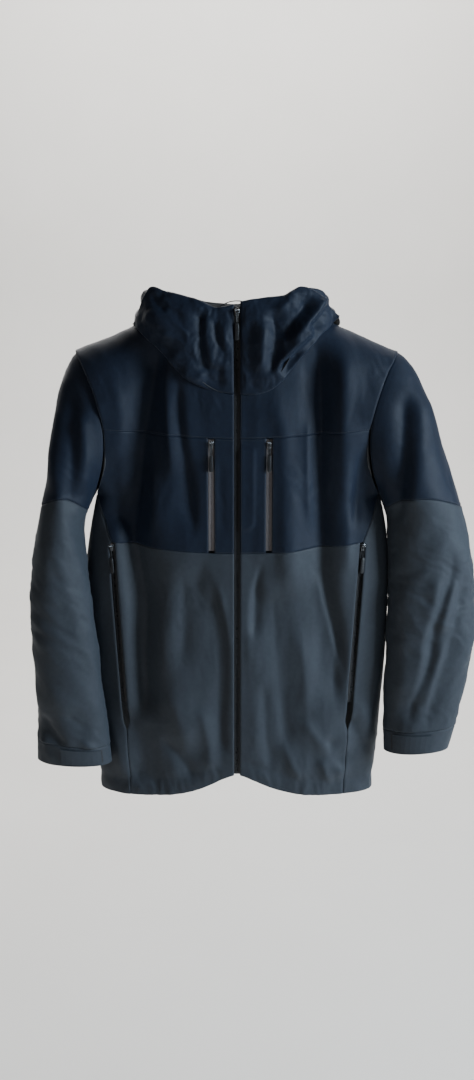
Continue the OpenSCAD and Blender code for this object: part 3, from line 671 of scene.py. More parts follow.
def innerSheet(name, x0, x1, zTop, zBottom, behind, thick, finish):
    # A piece of lining that lies behind the front and follows its folds
    c, v = np.meshgrid(np.linspace(0, 1, 44), np.linspace(0, 1, 60), indexing="ij")
    z = lerp(zTop, zBottom, v)
    left, right = (x0(z), x1(z)) if callable(x0) else (x0, x1)
    corner = 10 * (1 - np.sqrt(np.maximum(0, 1 - power(np.abs(2 * v - 1), 18))))
    points = frontPoint(lerp(left + corner, right - corner, c), z)
    normals = gridNormals(points, core=(0, -16, -419))
    shaped = points + normals * (bodyLift(points, normals) - behind)[..., None]
    outward = gridNormals(shaped, like=normals)
    piece = sheetMesh(name + "_cloth", shaped, outward, thick=thick, materials=(finish,))
    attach(piece, "root")
    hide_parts(name)
    declareSheet(piece, shaped)


def frontSheet(f, cs, vs, side):
    c, v = np.meshgrid(cs, vs, indexing="ij")
    points = f(c, v)
    points[..., 0] *= side
    return points if side > 0 else points[::-1]


def yokeTop(c, front):
    neckShare = 0.42
    a = math.pi / 2 * clamp01(c / neckShare)
    neckDrop = body["neckFrontDrop"] if front else body["neckBackDrop"]
    x = body["neckHalfW"] * np.sin(a) + (zips["mainOpen"] * (1 - np.sin(a)) if front else 0)
    z = -body["neckSideDrop"] - (neckDrop - body["neckSideDrop"]) * np.cos(a)
    xOut = lerp(body["neckHalfW"], body["shoulderHalfW"], (c - neckShare) / (1 - neckShare))
    inNeck = c < neckShare
    return np.where(inNeck, x, xOut), np.where(inNeck, z, shoulderZ(xOut))


def yokeXZ(c, v, front, lowZ):
    g = 1 - np.cos(math.pi / 2 * v)
    topX, topZ = yokeTop(c, front)
    edgeZ = lerp(-body["shoulderDrop"], lowZ(armpitHalfW), g)
    x0 = zips["mainOpen"] if front else 0
    edgeX = ringX(lowZ(armpitHalfW))
    bottomX = lerp(x0, edgeX, c)
    bowed = ringX(np.minimum(edgeZ, -body["shoulderDrop"])) - lerp(body["shoulderHalfW"], edgeX, v)
    return lerp(topX, bottomX, v) + c ** 4 * bowed, lerp(topZ, lowZ(bottomX), g)


def yokeSheet(c, v):
    x, z = yokeXZ(c, v, True, chestSeamZ)
    return frontPoint(x, z)


def acrossSheet(x0, highZ, lowZ):
    def f(c, v):
        at = lerp(x0, armpitHalfW, c)
        z = lerp(highZ(at), lowZ(at), v)
        return frontPoint(lerp(x0, panelEdge(z) - edgeGap(z), c), z)
    return f


def chestCentreSheet(zipX):
    def f(c, v):
        x = lerp(zips["mainOpen"], zipX - zips["pocketOpen"], c)
        return frontPoint(x, lerp(chestSeamZ(x), colourSeamZ(x), v))
    return f


def sideSheet(c, v):
    z = lerp(armpitZ - 2, sideHemZ, v)

    def angleFrom(gap):
        return np.arcsin(power(np.minimum(1, (panelEdge(z) + gap) / bodyHalfW(z)), body["squareness"] / 2))

    a = lerp(angleFrom(edgeGap(z)), math.pi - angleFrom(0), c)
    x = bodyHalfW(z) * power(np.sin(a), 2 / body["squareness"])
    k = power(np.abs(np.cos(a)), 2 / body["squareness"])
    depth = np.where(a < math.pi / 2, -body["frontDepth"], body["backDepth"])
    return np.stack([x, -body["sideForward"] + depth * k, z], -1)


def placketFlap(points):  # the storm flap's edge shows through beside the zip, with a rounded lower corner
    x, z = points[..., 0], points[..., 2]
    edge = np.where(z > -315, x - 26, np.hypot(np.maximum(x - 14, 0), np.maximum(-315 - z, 0) * 0.7) - 12)
    raised = smooth((2.2 - edge) / 4.4) * smooth((z + 338) / 8) * smooth((-205 - z) / 10)
    return 1.6 * raised * (x > 0)


chestSides = {-1: zips["chestLeftX"], 1: zips["chestRightX"]}
for side, word in ((-1, "left"), (1, "right")):
    fromZip = chestSides[side] + zips["pocketOpen"]
    yokeCs, yokeVs = spaced(300, cell), spaced(150, cell)
    bodySheet(
        f"yoke_{word}", frontSheet(yokeSheet, yokeCs, yokeVs, side), navyShell, (1, 1, 1, 1),
        sewn=(1, 1, 0, 1))
    bodySheet(
        f"chest_centre_{word}",
        frontSheet(chestCentreSheet(chestSides[side]), spaced(34, 2.4), spaced(170, cell), side),
        navyShell, (1, 1, 1, 1), extra=placketFlap, sewn=(1, 1, 1, 1))
    bodySheet(
        f"chest_{word}",
        frontSheet(acrossSheet(fromZip, chestSeamZ, colourSeamZ), spaced(175, cell), spaced(170, cell), side),
        navyShell, (1, 1, 1, 1), sewn=(1, 1, 0, 0))
    bodySheet(
        f"front_{word}",
        frontSheet(
            acrossSheet(zips["mainOpen"], colourSeamZ, frontHemZ), spaced(200, cell), spaced(390, cell),
            side),
        greyShell, (1, 1, 1, 0), sewn=(1, 1, 1, 0))
    bodySheet(
        f"side_{word}", frontSheet(sideSheet, spaced(150, cell), spaced(480, cell), side), greyShell,
        (1, 1, 1, 0), core=(0, -16, -500))
    innerSheet(f"chest_pocket_{word}", side * (chestSides[side] + 12), side * 150, chestTopZ - 6, colourZ - 8,
               6, 1.6, liningCloth)
    innerSheet(
        f"hand_pocket_{word}", lambda z: side * 60 + 0 * z, lambda z: side * (handZipX(z) - 18), colourZ - 22,
        colourZ - zips["handLength"] - 40, 7, 1.6, liningCloth)


def backSheet(f, width, height):
    c, v = np.meshgrid(np.linspace(-1, 1, int(width / cell) + 1), spaced(height, cell), indexing="ij")
    return f(c, v)


def backYoke(c, v):
    x, z = yokeXZ(np.abs(c), v, False, lambda x: -body["backSeamDrop"] + 0 * x)
    return backPoint(np.sign(c) * x, z)


def backUpper(c, v):
    z = lerp(-body["backSeamDrop"], colourZ, v)
    return backPoint(c * panelEdge(z), z)


def backLower(c, v):
    z = lerp(colourZ, backHemZ(c * body["hemHalfW"]), v)
    return backPoint(c * handZipX(z), z)


bodySheet("back_yoke", backSheet(backYoke, 560, 150), navyShell, (0, 0, 0, 1), sewn=(0, 0, 0, 1))
bodySheet("back_upper", backSheet(backUpper, 480, 204), navyShell, (0, 0, 1, 1), sewn=(0, 0, 0, 1))
bodySheet("back_lower", backSheet(backLower, 400, 400), greyShell, (1, 1, 1, 0))
innerSheet("storm_flap", -14, 28, zips["mainTop"] - 12, mainBottomZ + 8, 8, 1.0, liningCloth)
innerSheet(
    "chin_guard", -16, 16, zips["mainTop"] - 4, zips["mainTop"] - 58, 8, 1.4, brushedCloth)
print("body panels ready")


# Sleeves

sleeve = dict(length=608, armGap=1.7, cuffHeight=42)
shoulderRow = [
    0, 0, body["armholeHeight"] / sleeve["length"], -body["armpitInset"], body["armholeHalfD"], 0,
    body["armholeBow"],
]
sleeveRows = {
    1: [
        shoulderRow,
        [0.08, 34, body["armholeHeight"] / sleeve["length"] + 0.014, 3 - body["armpitInset"], 56, 3, 8],
        [0.305, 84, 0.42, -12, 54, 9, 0],
        [0.505, 117, 0.53, -8, 46, 15, 0],
        [0.70, 126, 0.71, -9, 38, 20, 0],
        [0.89, 107, 0.90, -12, 33, 26, 0],
        [1, 92, 1.01, -9, 30, 30, 0],
    ],
    -1: [
        shoulderRow,
        [0.10, 24, body["armholeHeight"] / sleeve["length"] + 0.02, 4 - body["armpitInset"], 57, 9, 8],
        [0.30, 43, 0.42, -10, 53, 24, 0],
        [0.505, 66, 0.53, -14, 45, 42, 0],
        [0.70, 69, 0.71, -27, 36, 50, 0],
        [0.87, 66, 0.90, -38, 33, 50, 0],
        [1.02, 70, 1.03, -45, 30, 48, 0],
    ],
}


def sleevePoint(side, a, u):
    r = catmull(sleeveRows[side], u)
    tip = body["shoulderHalfW"] + sleeve["armGap"]
    outX, outZ = tip + r[..., 1], -body["shoulderDrop"] - r[..., 0] * sleeve["length"]
    inX, inZ = tip + r[..., 3], -body["shoulderDrop"] - r[..., 2] * sleeve["length"]
    k = np.cos(a)
    x = (outX + inX) / 2 + (outX - inX) / 2 * k + r[..., 6] * (np.cos(2 * a) - 1)
    z = (outZ + inZ) / 2 + (outZ - inZ) / 2 * k
    y = -body["sideForward"] - r[..., 5] - r[..., 4] * np.sin(a)
    return np.stack([side * x, y, z], -1)


def colourU(a):
    return 1.9 + 0.45 * np.cos(a)


def endU(side, h):
    rows = sleeveRows[side]
    return 6 - h / ((rows[6][0] - rows[5][0]) * sleeve["length"])


sleeveFolds = {
    1: [
        fold([(318, -350), (322, -400), (300, -470), (290, -540), (268, -600), (262, -650)],
             -7, 14, 9, soft=2, fade=50),
        fold([(300, -390), (296, -440), (282, -500), (276, -560), (256, -620)], 5, 10, 8, soft=2, fade=40),
        fold([(346, -380), (338, -450), (322, -520), (300, -590), (290, -660)], -8, 14, 22, soft=2, fade=60),
        fold([(330, -400), (316, -450), (306, -500)], 5, 8, 8, soft=1.5, fade=30),
        fold([(316, -500), (300, -560), (286, -620)], 4, 8, 8, soft=1.5, fade=30),
        fold([(262, -110), (268, -180), (262, -260), (250, -330)], 8, 18, 40, soft=4, fade=50),
        fold([(246, -120), (244, -200), (238, -290), (236, -340)], -9, 14, 12, soft=3, fade=40),
        fold([(300, -180), (312, -240), (318, -300)], -4, 18, 20, soft=4, fade=40),
        fold([(244, -400), (252, -500), (248, -620)], 5, 12, 18, soft=4, fade=50),
        fold([(280, -200), (300, -420), (310, -620)], -8, 30, 30, soft=8, fade=80, side="back"),
        fold([(330, -350), (340, -450), (320, -600)], 6, 20, 20, soft=6, fade=60, side="back"),
        fold([(270, -420), (300, -470), (340, -480)], 5, 14, 12, soft=4, fade=40, side="back"),
    ],
    -1: [
        fold([(-244, -110), (-240, -180), (-236, -250), (-244, -310)], -8, 16, 16, soft=3, fade=40),
        fold([(-262, -130), (-266, -200), (-262, -280)], 6, 18, 14, soft=3, fade=40),
        fold([(-228, -150), (-222, -210), (-230, -280)], 6, 10, 12, soft=3, fade=30),
        fold([(-300, -380), (-290, -470), (-280, -560), (-286, -640)], 5, 26, 24, soft=6, fade=60),
        fold([(-270, -360), (-256, -430), (-244, -500)], -4, 20, 16, soft=5, fade=40),
        fold([(-296, -610), (-280, -640), (-262, -668)], -5, 8, 8, soft=2, fade=20),
        fold([(-300, -640), (-290, -672), (-276, -700)], 5, 9, 8, soft=2, fade=20),
        fold([(-262, -600), (-240, -625), (-216, -640)], -4, 9, 9, soft=2, fade=24),
        fold([(-240, -650), (-222, -668), (-206, -690)], 4, 8, 8, soft=2, fade=20),
        fold([(-300, -200), (-286, -420), (-270, -640)], -8, 30, 26, soft=8, fade=80, side="back"),
        fold([(-250, -330), (-252, -450), (-236, -600)], 6, 18, 20, soft=6, fade=60, side="back"),
    ],
}
sleeveTurn = np.array([0.9285, 0, -0.3714])


def bendWithSleeve(piece, side):
    along = sleeveTurn * (side, 1, 1)
    word = "left" if side < 0 else "right"
    tuple(along * 0.300)
    tuple(along * 0.430)
    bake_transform(piece)


def sleeveSheet(name, side, fromU, toU, length, shell, seams):
    around = np.arange(132) * 2 * math.pi / 132
    a, v = np.meshgrid(around, spaced(length, cell), indexing="ij")
    points = sleevePoint(side, a, lerp(fromU(a), toU(a), v))
    core = points.mean((0, 1))
    normals = gridNormals(points, wrap=True, core=core)
    x, z = points[..., 0], points[..., 2]
    lift = foldSum(points, normals, sleeveFolds[side])
    lift = lift + gradientNoise(z / 60, a * 1.4 + z / 90, 60 + side) * 1.8
    elbow = np.exp(-(((z + 440) / 90) ** 2)) + 0.5 * np.exp(-(((z + 650) / 50) ** 2))
    lift = lift + crumple(z / 26 + x / 50, a * 1.1 + z / 80, 70 + side) * (0.5 + 1.6 * elbow)
    fromSeam = edgeDistances(points)[2]
    if fromU(0 * a).max() == 0:  # the cap is sewn into the armhole
        lift = lift * smooth(fromSeam / 40)
    if name.startswith("cuff"):
        lift = lift * 0.35
    lift = lift + seamDip(points, (0, 0) + seams)
    shaped = points + normals * lift[..., None]
    if fromU(0 * a).max() == 0:
        shaped[..., 0] -= side * 2.6 * np.exp(-((fromSeam / 7) ** 2))
        shaped -= normals * (1.2 * np.exp(-((fromSeam / 5) ** 2)))[..., None]
    outward = gridNormals(shaped, wrap=True, like=normals)
    piece = sheetMesh(name + "_cloth", shaped, outward, wrap=True, materials=(shell, liningCloth))
    if not name.startswith("cuff"):
        keepStitches(name[:12] + name.split("_")[-1], shaped, outward, (0, 0) + seams)
    return piece, shaped


for side, word in ((-1, "left"), (1, "right")):
    parts = {
        "sleeve_upper": (lambda a: 0 * a, colourU, 240, navyShell, (1, 1)),
        "sleeve_lower": (colourU, lambda a: endU(side, sleeve["cuffHeight"]) + 0 * a, 370, greyShell, (1, 1)),
        "cuff": (
            lambda a: endU(side, sleeve["cuffHeight"]) + 0 * a, lambda a: 6 + 0 * a, 42, greyShell, (1, 0)),
    }
    for part, (fromU, toU, length, shell, seams) in parts.items():
        name = f"{part}_{word}"
        piece, shaped = sleeveSheet(name, side, fromU, toU, length, shell, seams)
        if part == "cuff":
            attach(piece, f"sleeve_{word}")
        else:
            bendWithSleeve(piece, side)
        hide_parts(name)
        declareSheet(piece, shaped, wrap=True)
print("sleeves ready")


# Collar: it stands up closed at the front, and its sides spread over the shoulders

collar = dict(
    low={
        -1: [(-4.5, -131), (-30, -128), (-60, -117), (-84, -100), (-106, -76), (-130, -54), (-151, -34)],
        1: [(4.5, -132), (28, -132), (51, -124), (74, -104), (97, -78), (124, -48), (149, -22)],
    },
    high={
        -1: [(-4.5, -5), (-29, -9), (-44, -3), (-68, 6), (-100, 13), (-127, 17), (-151, -34)],
        1: [(4.5, -1), (14, 1), (40, 5), (68, 8), (92, 20), (120, 8), (149, -22)],
    },
    stand=2.0, bulge=9.0, topDepth=54, topHalfW=172,
)
collarFolds = {
    -1: [
        fold([(-50, -10), (-50, -50), (-47, -80), (-40, -104)], -8.5, 15, 4, soft=0.8, fade=14),
        fold([(-33, -22), (-28, -50), (-18, -74), (-22, -92)], -5, 9, 4, soft=0.8, fade=14),
        fold([(-20, -20), (-17, -60), (-20, -100)], 3, 4, 8, soft=1, fade=24),
        fold([(-44, -92), (-32, -98), (-16, -100)], -5, 8, 8, soft=1, fade=10),
        fold([(-118, 12), (-112, -6), (-98, -14)], -4, 6, 8, soft=2, fade=10),
        fold([(-140, -20), (-112, -28), (-92, -60)], 5, 12, 14, soft=4, fade=20),
        fold([(-104, 4), (-90, -30), (-78, -74), (-70, -100)], -3, 14, 14, soft=5, fade=24),
        fold([(-54, -102), (-36, -112), (-14, -116)], -4, 8, 6, soft=2, fade=14),
        fold([(-84, -96), (-60, -106), (-40, -100)], 4, 8, 10, soft=2, fade=16),
        fold([(-124, -44), (-106, -60), (-92, -84)], -4, 8, 8, soft=2, fade=16),
    ],
    1: [
        fold([(50, -10), (54, -40), (54, -80), (48, -108)], -11, 9, 15, soft=0.8, fade=16),
        fold([(38, -20), (38, -60), (34, -104)], 5, 14, 6, soft=1.5, fade=24),
        fold([(60, -92), (76, -84), (96, -70)], -5, 6, 6, soft=1, fade=12),
        fold([(128, 8), (112, -16), (90, -41), (74, -62)], 9, 6, 7, soft=1.5, fade=14),
        fold([(108, 6), (88, -18), (74, -38), (64, -56)], -10, 10, 10, soft=2.5, fade=16),
        fold([(112, -38), (86, -60), (60, -88), (50, -108)], 9, 6, 8, soft=1.5, fade=14),
        fold([(128, -30), (104, -56), (82, -84), (66, -106)], -7, 9, 9, soft=2, fade=18),
        fold([(84, 18), (72, -2), (58, -20)], 4, 8, 8, soft=2, fade=12),
        fold([(20, -20), (18, -60), (20, -110)], -3, 7, 7, soft=2, fade=24),
        fold([(138, 0), (120, -22), (104, -40)], -6, 6, 7, soft=1.5, fade=10),
    ],
}


def collarSheet(side, cs, vs):
    c, v = np.meshgrid(cs, vs, indexing="ij")
    low, high = through(collar["low"][side], cs), through(collar["high"][side], cs)
    lowY = np.minimum(frontPoint(low[:, 0], low[:, 1])[:, 1] - collar["stand"], -27)
    fromMiddle = np.minimum(1, np.abs(high[:, 0]) / collar["topHalfW"])
    highY = -body["sideForward"] - collar["topDepth"] * np.sqrt(1 - fromMiddle ** 2)
    highY = lerp(highY, lowY, smooth((cs - 0.8) / 0.2))
    low3 = np.stack([low[:, 0], lowY, low[:, 1]], -1)[:, None]
    high3 = np.stack([high[:, 0], highY, high[:, 1]], -1)[:, None]
    points = lerp(low3, high3, v[..., None])
    out = np.sin(math.pi * v) * (3 + collar["bulge"] * np.sin(math.pi * np.minimum(1, c * 1.15)))
    points[..., 1] -= out
    return points


for side, word in ((-1, "left"), (1, "right")):
    cs, vs = spaced(190, 2.4), spaced(126, 2.4)
    points = collarSheet(side, cs, vs)
    if side < 0:
        points = points[::-1]
    normals = gridNormals(points, core=(0, 40, -60))
    x, z = points[..., 0], points[..., 2]
    lift = sum(foldHeight(x, z, f) for f in collarFolds[side])
    lift = lift + crumple((x + 0.4 * z) / 26, (z - 0.3 * x) / 34, 90 + side) * 1.5
    lift = lift + gradientNoise(x / 30, z / 60, 95 + side) * 1.2
    lift = lift + crumple((x - 0.5 * z) / 11, (z + 0.4 * x) / 16, 92 + side) * 0.55
    seams = (1, 0.5, 1.4, 1) if side > 0 else (0.5, 1, 1.4, 1)
    lift = lift * smooth((np.abs(x) - 3) / 12) + seamDip(points, seams)
    shaped = points + normals * lift[..., None]
    piece = sheetMesh(
        f"collar_{word}_cloth", shaped, gridNormals(shaped, like=normals), thick=0.9,
        materials=(navyShell, brushedCloth))
    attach(piece, "root")
    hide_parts(f"collar_{word}")
    declareSheet(piece, shaped)


def neckSeam(a):  # the ring where the collar is sewn on, a turns from the front
    x, c = body["neckHalfW"] * np.sin(a), np.cos(a)
    front = -body["neckSideDrop"] - (body["neckFrontDrop"] - body["neckSideDrop"]) * c
    back = -body["neckSideDrop"] - (body["neckSideDrop"] - body["neckBackDrop"]) * c
    return np.where((c > 0)[..., None], frontPoint(x, front), backPoint(x, back))


def collarBackSheet(c, v):
    a = math.radians(119) + c * math.radians(122)
    low = neckSeam(a)
    rise = 18 * np.sin(a) ** 2 - 6 * np.cos(a) ** 2
    top = np.stack([118 * np.sin(a), -body["sideForward"] - 36 * np.cos(a), rise], -1)
    return lerp(low, top, v[..., None]) + np.array([0, 0, 2.0])


c, v = np.meshgrid(np.linspace(0, 1, 70), spaced(26, 2.4), indexing="ij")
points = collarBackSheet(c, v)
normals = gridNormals(points, core=(0, -16, 0))
shaped = points + normals * (gradientNoise(c * 14, v * 2, 99) * 1.2)[..., None]
piece = sheetMesh(
    "collar_back_cloth", shaped, gridNormals(shaped, like=normals), thick=0.9,
    materials=(navyShell, brushedCloth))
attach(piece, "root")
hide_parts("collar_back")
declareSheet(piece, shaped)

# Hood: it hangs behind the neck, and its sides come forward over the shoulders to the collar

hood = dict(halfW=128, halfD=28, length=214, top=-14, frontY=14, clear=3, seam=22, brim=34)
wing = {  # each side runs back from the collar: inner, crest and outer edge
    -1: dict(
        inner=[(-96, -54, -26), (-94, -30, -14), (-96, 0, -12), (-98, 24, -26)],
        crest=[(-124, -52, 12), (-132, -28, 9), (-132, 6, 1), (-118, 40, -12)],
        outer=[(-150, -27, -33), (-153, -12, -33), (-152, 14, -36), (-136, 48, -48)],
    ),
    1: dict(
        inner=[(92, -54, -26), (94, -30, -14), (96, 0, -12), (98, 24, -26)],
        crest=[(98, -56, 16), (118, -34, 11), (130, 4, 1), (118, 40, -12)],
        outer=[(148, -27, -22), (152, -12, -29), (152, 14, -36), (136, 48, -48)],
    ),
}


def hoodPoint(c, q):
    x = hood["halfW"] * np.sin(c)
    z = hood["top"] - hood["length"] * power(np.sin(q), 0.9) * power(np.cos(c), 0.6)
    lean = (1 - np.cos(q)) / 2
    nape = lerp(backPoint(x, z)[..., 1], backPoint(x, -hood["length"] + 0 * x)[..., 1], lean) + hood["clear"]
    y = np.maximum(hood["frontY"], nape + hood["halfD"] * (1 - np.cos(q) * np.cos(c)))
    return np.stack([x, y, z], -1)


def hoodCloth(points, core, seed):
    normals = gridNormals(points, core=core)
    x, y, z = points[..., 0], points[..., 1], points[..., 2]
    away = smooth((y - 30) / 20)
    lift = gradientNoise(x / 26, z / 90, seed) * 2.6 + crumple(x / 30, z / 44, seed + 3) * 1.0
    wave = 2.5 * np.cos(x / 17 + gradientNoise(x / 60, z / 70, seed + 9) * 2)
    lift = lift + wave * smooth((z + 190) / 120) * away
    return points + normals * (lift * lerp(0.3, 1, away))[..., None], normals


def bendWithHood(piece):
    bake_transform(piece)


hoodCore = (0, 70, -60)
hoodSpans = {
    "left": (-80, -hood["seam"]), "centre": (-hood["seam"], hood["seam"]), "right": (hood["seam"], 80),
}
for word, (low, high) in hoodSpans.items():
    columns = np.radians(np.linspace(low, high, 44 if word != "centre" else 34))
    rows = np.radians(np.linspace(2, 178, 150))
    c, q = np.meshgrid(columns, rows, indexing="ij")
    shaped, normals = hoodCloth(hoodPoint(c, q), hoodCore, 120)
    shaped = shaped + normals * seamDip(shaped, (1, 1, 0.6, 0.6))[..., None]
    piece = sheetMesh(
        f"hood_{word}_cloth", shaped, gridNormals(shaped, like=normals), thick=0.9,
        materials=(navyShell, liningCloth))
    bendWithHood(piece)
    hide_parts(f"hood_{word}")
    declareSheet(piece, shaped)

for side, word in ((-1, "left"), (1, "right")):
    along = np.linspace(0, 1, 60)
    edges = np.stack([through(wing[side][k], along) for k in ("inner", "crest", "outer")])
    across = np.linspace(0, 1, 44)
    points = np.stack([catmull(edges[:, i], across * 2) for i in range(len(along))])
    normals = gridNormals(points, core=(side * 118, -6, -60))
    x, y, z = points[..., 0], points[..., 1], points[..., 2]
    roll = sum(
        height * np.exp(-(((across[None] - place - 0.12 * np.sin(3 * along[:, None] + shift)) / width) ** 2))
        for height, place, width, shift in ((5, 0.42, 0.09, 0), (-5, 0.62, 0.07, 1), (4, 0.8, 0.07, 2)))
    lift = roll + crumple(x / 26, y / 30, 140 + side) * 1.2
    shaped = points + normals * (lift * np.sin(math.pi * clamp01(across * 1.0))[None])[..., None]
    piece = sheetMesh(
        f"hood_wing_{word}", shaped, gridNormals(shaped, like=normals), thick=0.9,
        materials=(navyShell, liningCloth))
    bendWithHood(piece)
    declareSheet(piece, shaped)

brimLow = math.asin(hood["brim"] / hood["length"])
brimAngles = np.radians(np.linspace(-46, 46, 70))
c, q = np.meshgrid(brimAngles, np.linspace(math.pi - brimLow, math.radians(177), 16), indexing="ij")
points = hoodPoint(c, q)
normals = gridNormals(points, core=hoodCore)
shaped = points + normals * (2.6 + 0.5 * np.cos(q * 90))[..., None]
piece = sheetMesh(
    "hood_brim_cloth", shaped, gridNormals(shaped, like=normals), thick=2.2,
    materials=(navyShell, liningCloth))
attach(piece, "hood")
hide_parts("hood_brim")
declareSheet(piece, shaped)
print("collar and hood ready")


# Zips

zipShape = dict(
    coilIn=0.6, coilOut=2.4, coilY=1.0, tapeY=0.4, clear=1.1, mainTapeW=13, chestTapeW=8, handTapeW=7,
    sliderW=3.9, sliderL=11, plateT=1.3, pinR=0.9, earX=2.1, earT=0.9, pinZ=2.5, pullerL=42,
)
clothT = 1.6
zipY = -body["sideForward"] - body["frontDepth"] + clothT + zipShape["clear"]
pinY = -(zipShape["coilY"] + 0.5) - zipShape["plateT"] - 2.4
sliderRest = zipShape["sliderL"] / 2 + 2


def turned(axis, angle):
    c, s = math.cos(angle), math.sin(angle)
    i, j = {"x": (1, 2), "y": (2, 0), "z": (0, 1)}[axis]
    m = np.eye(3)
    m[i, i], m[i, j], m[j, i], m[j, j] = c, -s, s, c
    return m


def handFrame():
    top = frontPoint(handZipX(colourZ), colourZ)
    low = frontPoint(handZipX(colourZ - zips["handLength"]), colourZ - zips["handLength"])
    run = low - top
    lean, fall = math.atan2(-run[0], zips["handLength"]), math.atan2(run[1], zips["handLength"])
    spin = turned("x", fall) @ turned("y", lean) @ turned("z", math.radians(17))
    return spin, top + np.array([0, clothT + 2.6, 0])


def placer(kind, side):  # puts points of a zip's own frame where the zip is
    if kind == "main":
        return lambda p: np.asarray(p, float) + np.array([0, zipY, zips["mainTop"]])
    if kind == "chest":
        x = chestSides[side]
        y = frontPoint(x, chestTopZ - 60)[1] + clothT + zipShape["clear"] + 0.4
        return lambda p: np.asarray(p, float) + np.array([side * x, y, chestTopZ])
    spin, origin = handFrame()
    return lambda p: (np.asarray(p, float) @ spin.T + origin) * np.array([side, 1, 1])


def gatherMesh(name, shapes, materials, place, mirrored):
    # shapes are (verts, faces, kind) in the zip's own frame
    verts, faces, kinds, base = [], [], [], 0
    for v, f, kind in shapes:
        placed = place(v)
        verts.append(placed * mm)
        for face in f:
            ring = [i + base for i in face]
            faces.append(ring[::-1] if mirrored else ring)
            kinds.append(kind)
        base += len(v)
    return makeObject(name, np.concatenate(verts), faces, materials, kinds)


def roundedBox(low, high, radius=0.3, steps=2):  # a box with rounded edges
    bm = bmesh.new()
    bmesh.ops.create_cube(bm, size=1)
    low, high = np.array(low, float), np.array(high, float)
    for vert in bm.verts:
        vert.co = [low[i] + (vert.co[i] + 0.5) * (high[i] - low[i]) for i in range(3)]
    bmesh.ops.bevel(bm, geom=bm.edges[:], offset=radius, segments=steps, profile=0.5, affect="EDGES")
    bm.normal_update()
    bm.verts.index_update()
    shape = ([tuple(v.co) for v in bm.verts], [[v.index for v in f.verts] for f in bm.faces])
    bm.free()
    return shape


def plateShape(outline, y0, y1, radius=0.3):  # a flat outline in X and Z with rounded edges
    bm = bmesh.new()
    ring = [bm.verts.new((x, y0, z)) for x, z in outline]
    face = bm.faces.new(ring)
    made = bmesh.ops.extrude_face_region(bm, geom=[face])
    for item in made["geom"]:
        if isinstance(item, bmesh.types.BMVert):
            item.co.y = y1
    bmesh.ops.recalc_face_normals(bm, faces=bm.faces[:])
    edges = [e for e in bm.edges if abs(e.verts[0].co.y - e.verts[1].co.y) < 1e-6]
    bmesh.ops.bevel(bm, geom=edges, offset=radius, segments=2, profile=0.5, affect="EDGES")
    bm.verts.index_update()
    shape = ([tuple(v.co) for v in bm.verts], [[v.index for v in f.verts] for f in bm.faces])
    bm.free()
    return shape


def tube(path, radius, sides=10, closed=False):
    path = np.asarray(path, float)
    n = len(path)
    tangent = unit(np.roll(path, -1, 0) - np.roll(path, 1, 0)) if closed else unit(np.gradient(path, axis=0))
    guide = np.array([0.0, 1.0, 0.0]) if abs(tangent[:, 1]).max() < 0.95 else np.array([1.0, 0.0, 0.0])
    a = unit(np.cross(tangent, guide))
    b = np.cross(tangent, a)
    turns = np.arange(sides) * 2 * math.pi / sides
    radius = np.broadcast_to(radius, (n,))
    rings = path[:, None] + radius[:, None, None] * (
        a[:, None] * np.cos(turns)[None, :, None] + b[:, None] * np.sin(turns)[None, :, None])
    faces = []
    for i in range(n if closed else n - 1):
        k = (i + 1) % n
        for j in range(sides):
            m = (j + 1) % sides
            faces.append([i * sides + j, k * sides + j, k * sides + m, i * sides + m])
    if not closed:
        faces += [list(range(sides)), [(n - 1) * sides + j for j in range(sides - 1, -1, -1)]]
    return rings.reshape(-1, 3), faces


def outwardFaces(obj):
    bm = bmesh.new()
    bm.from_mesh(obj.data)
    bmesh.ops.recalc_face_normals(bm, faces=bm.faces[:])
    bm.to_mesh(obj.data)
    bm.free()


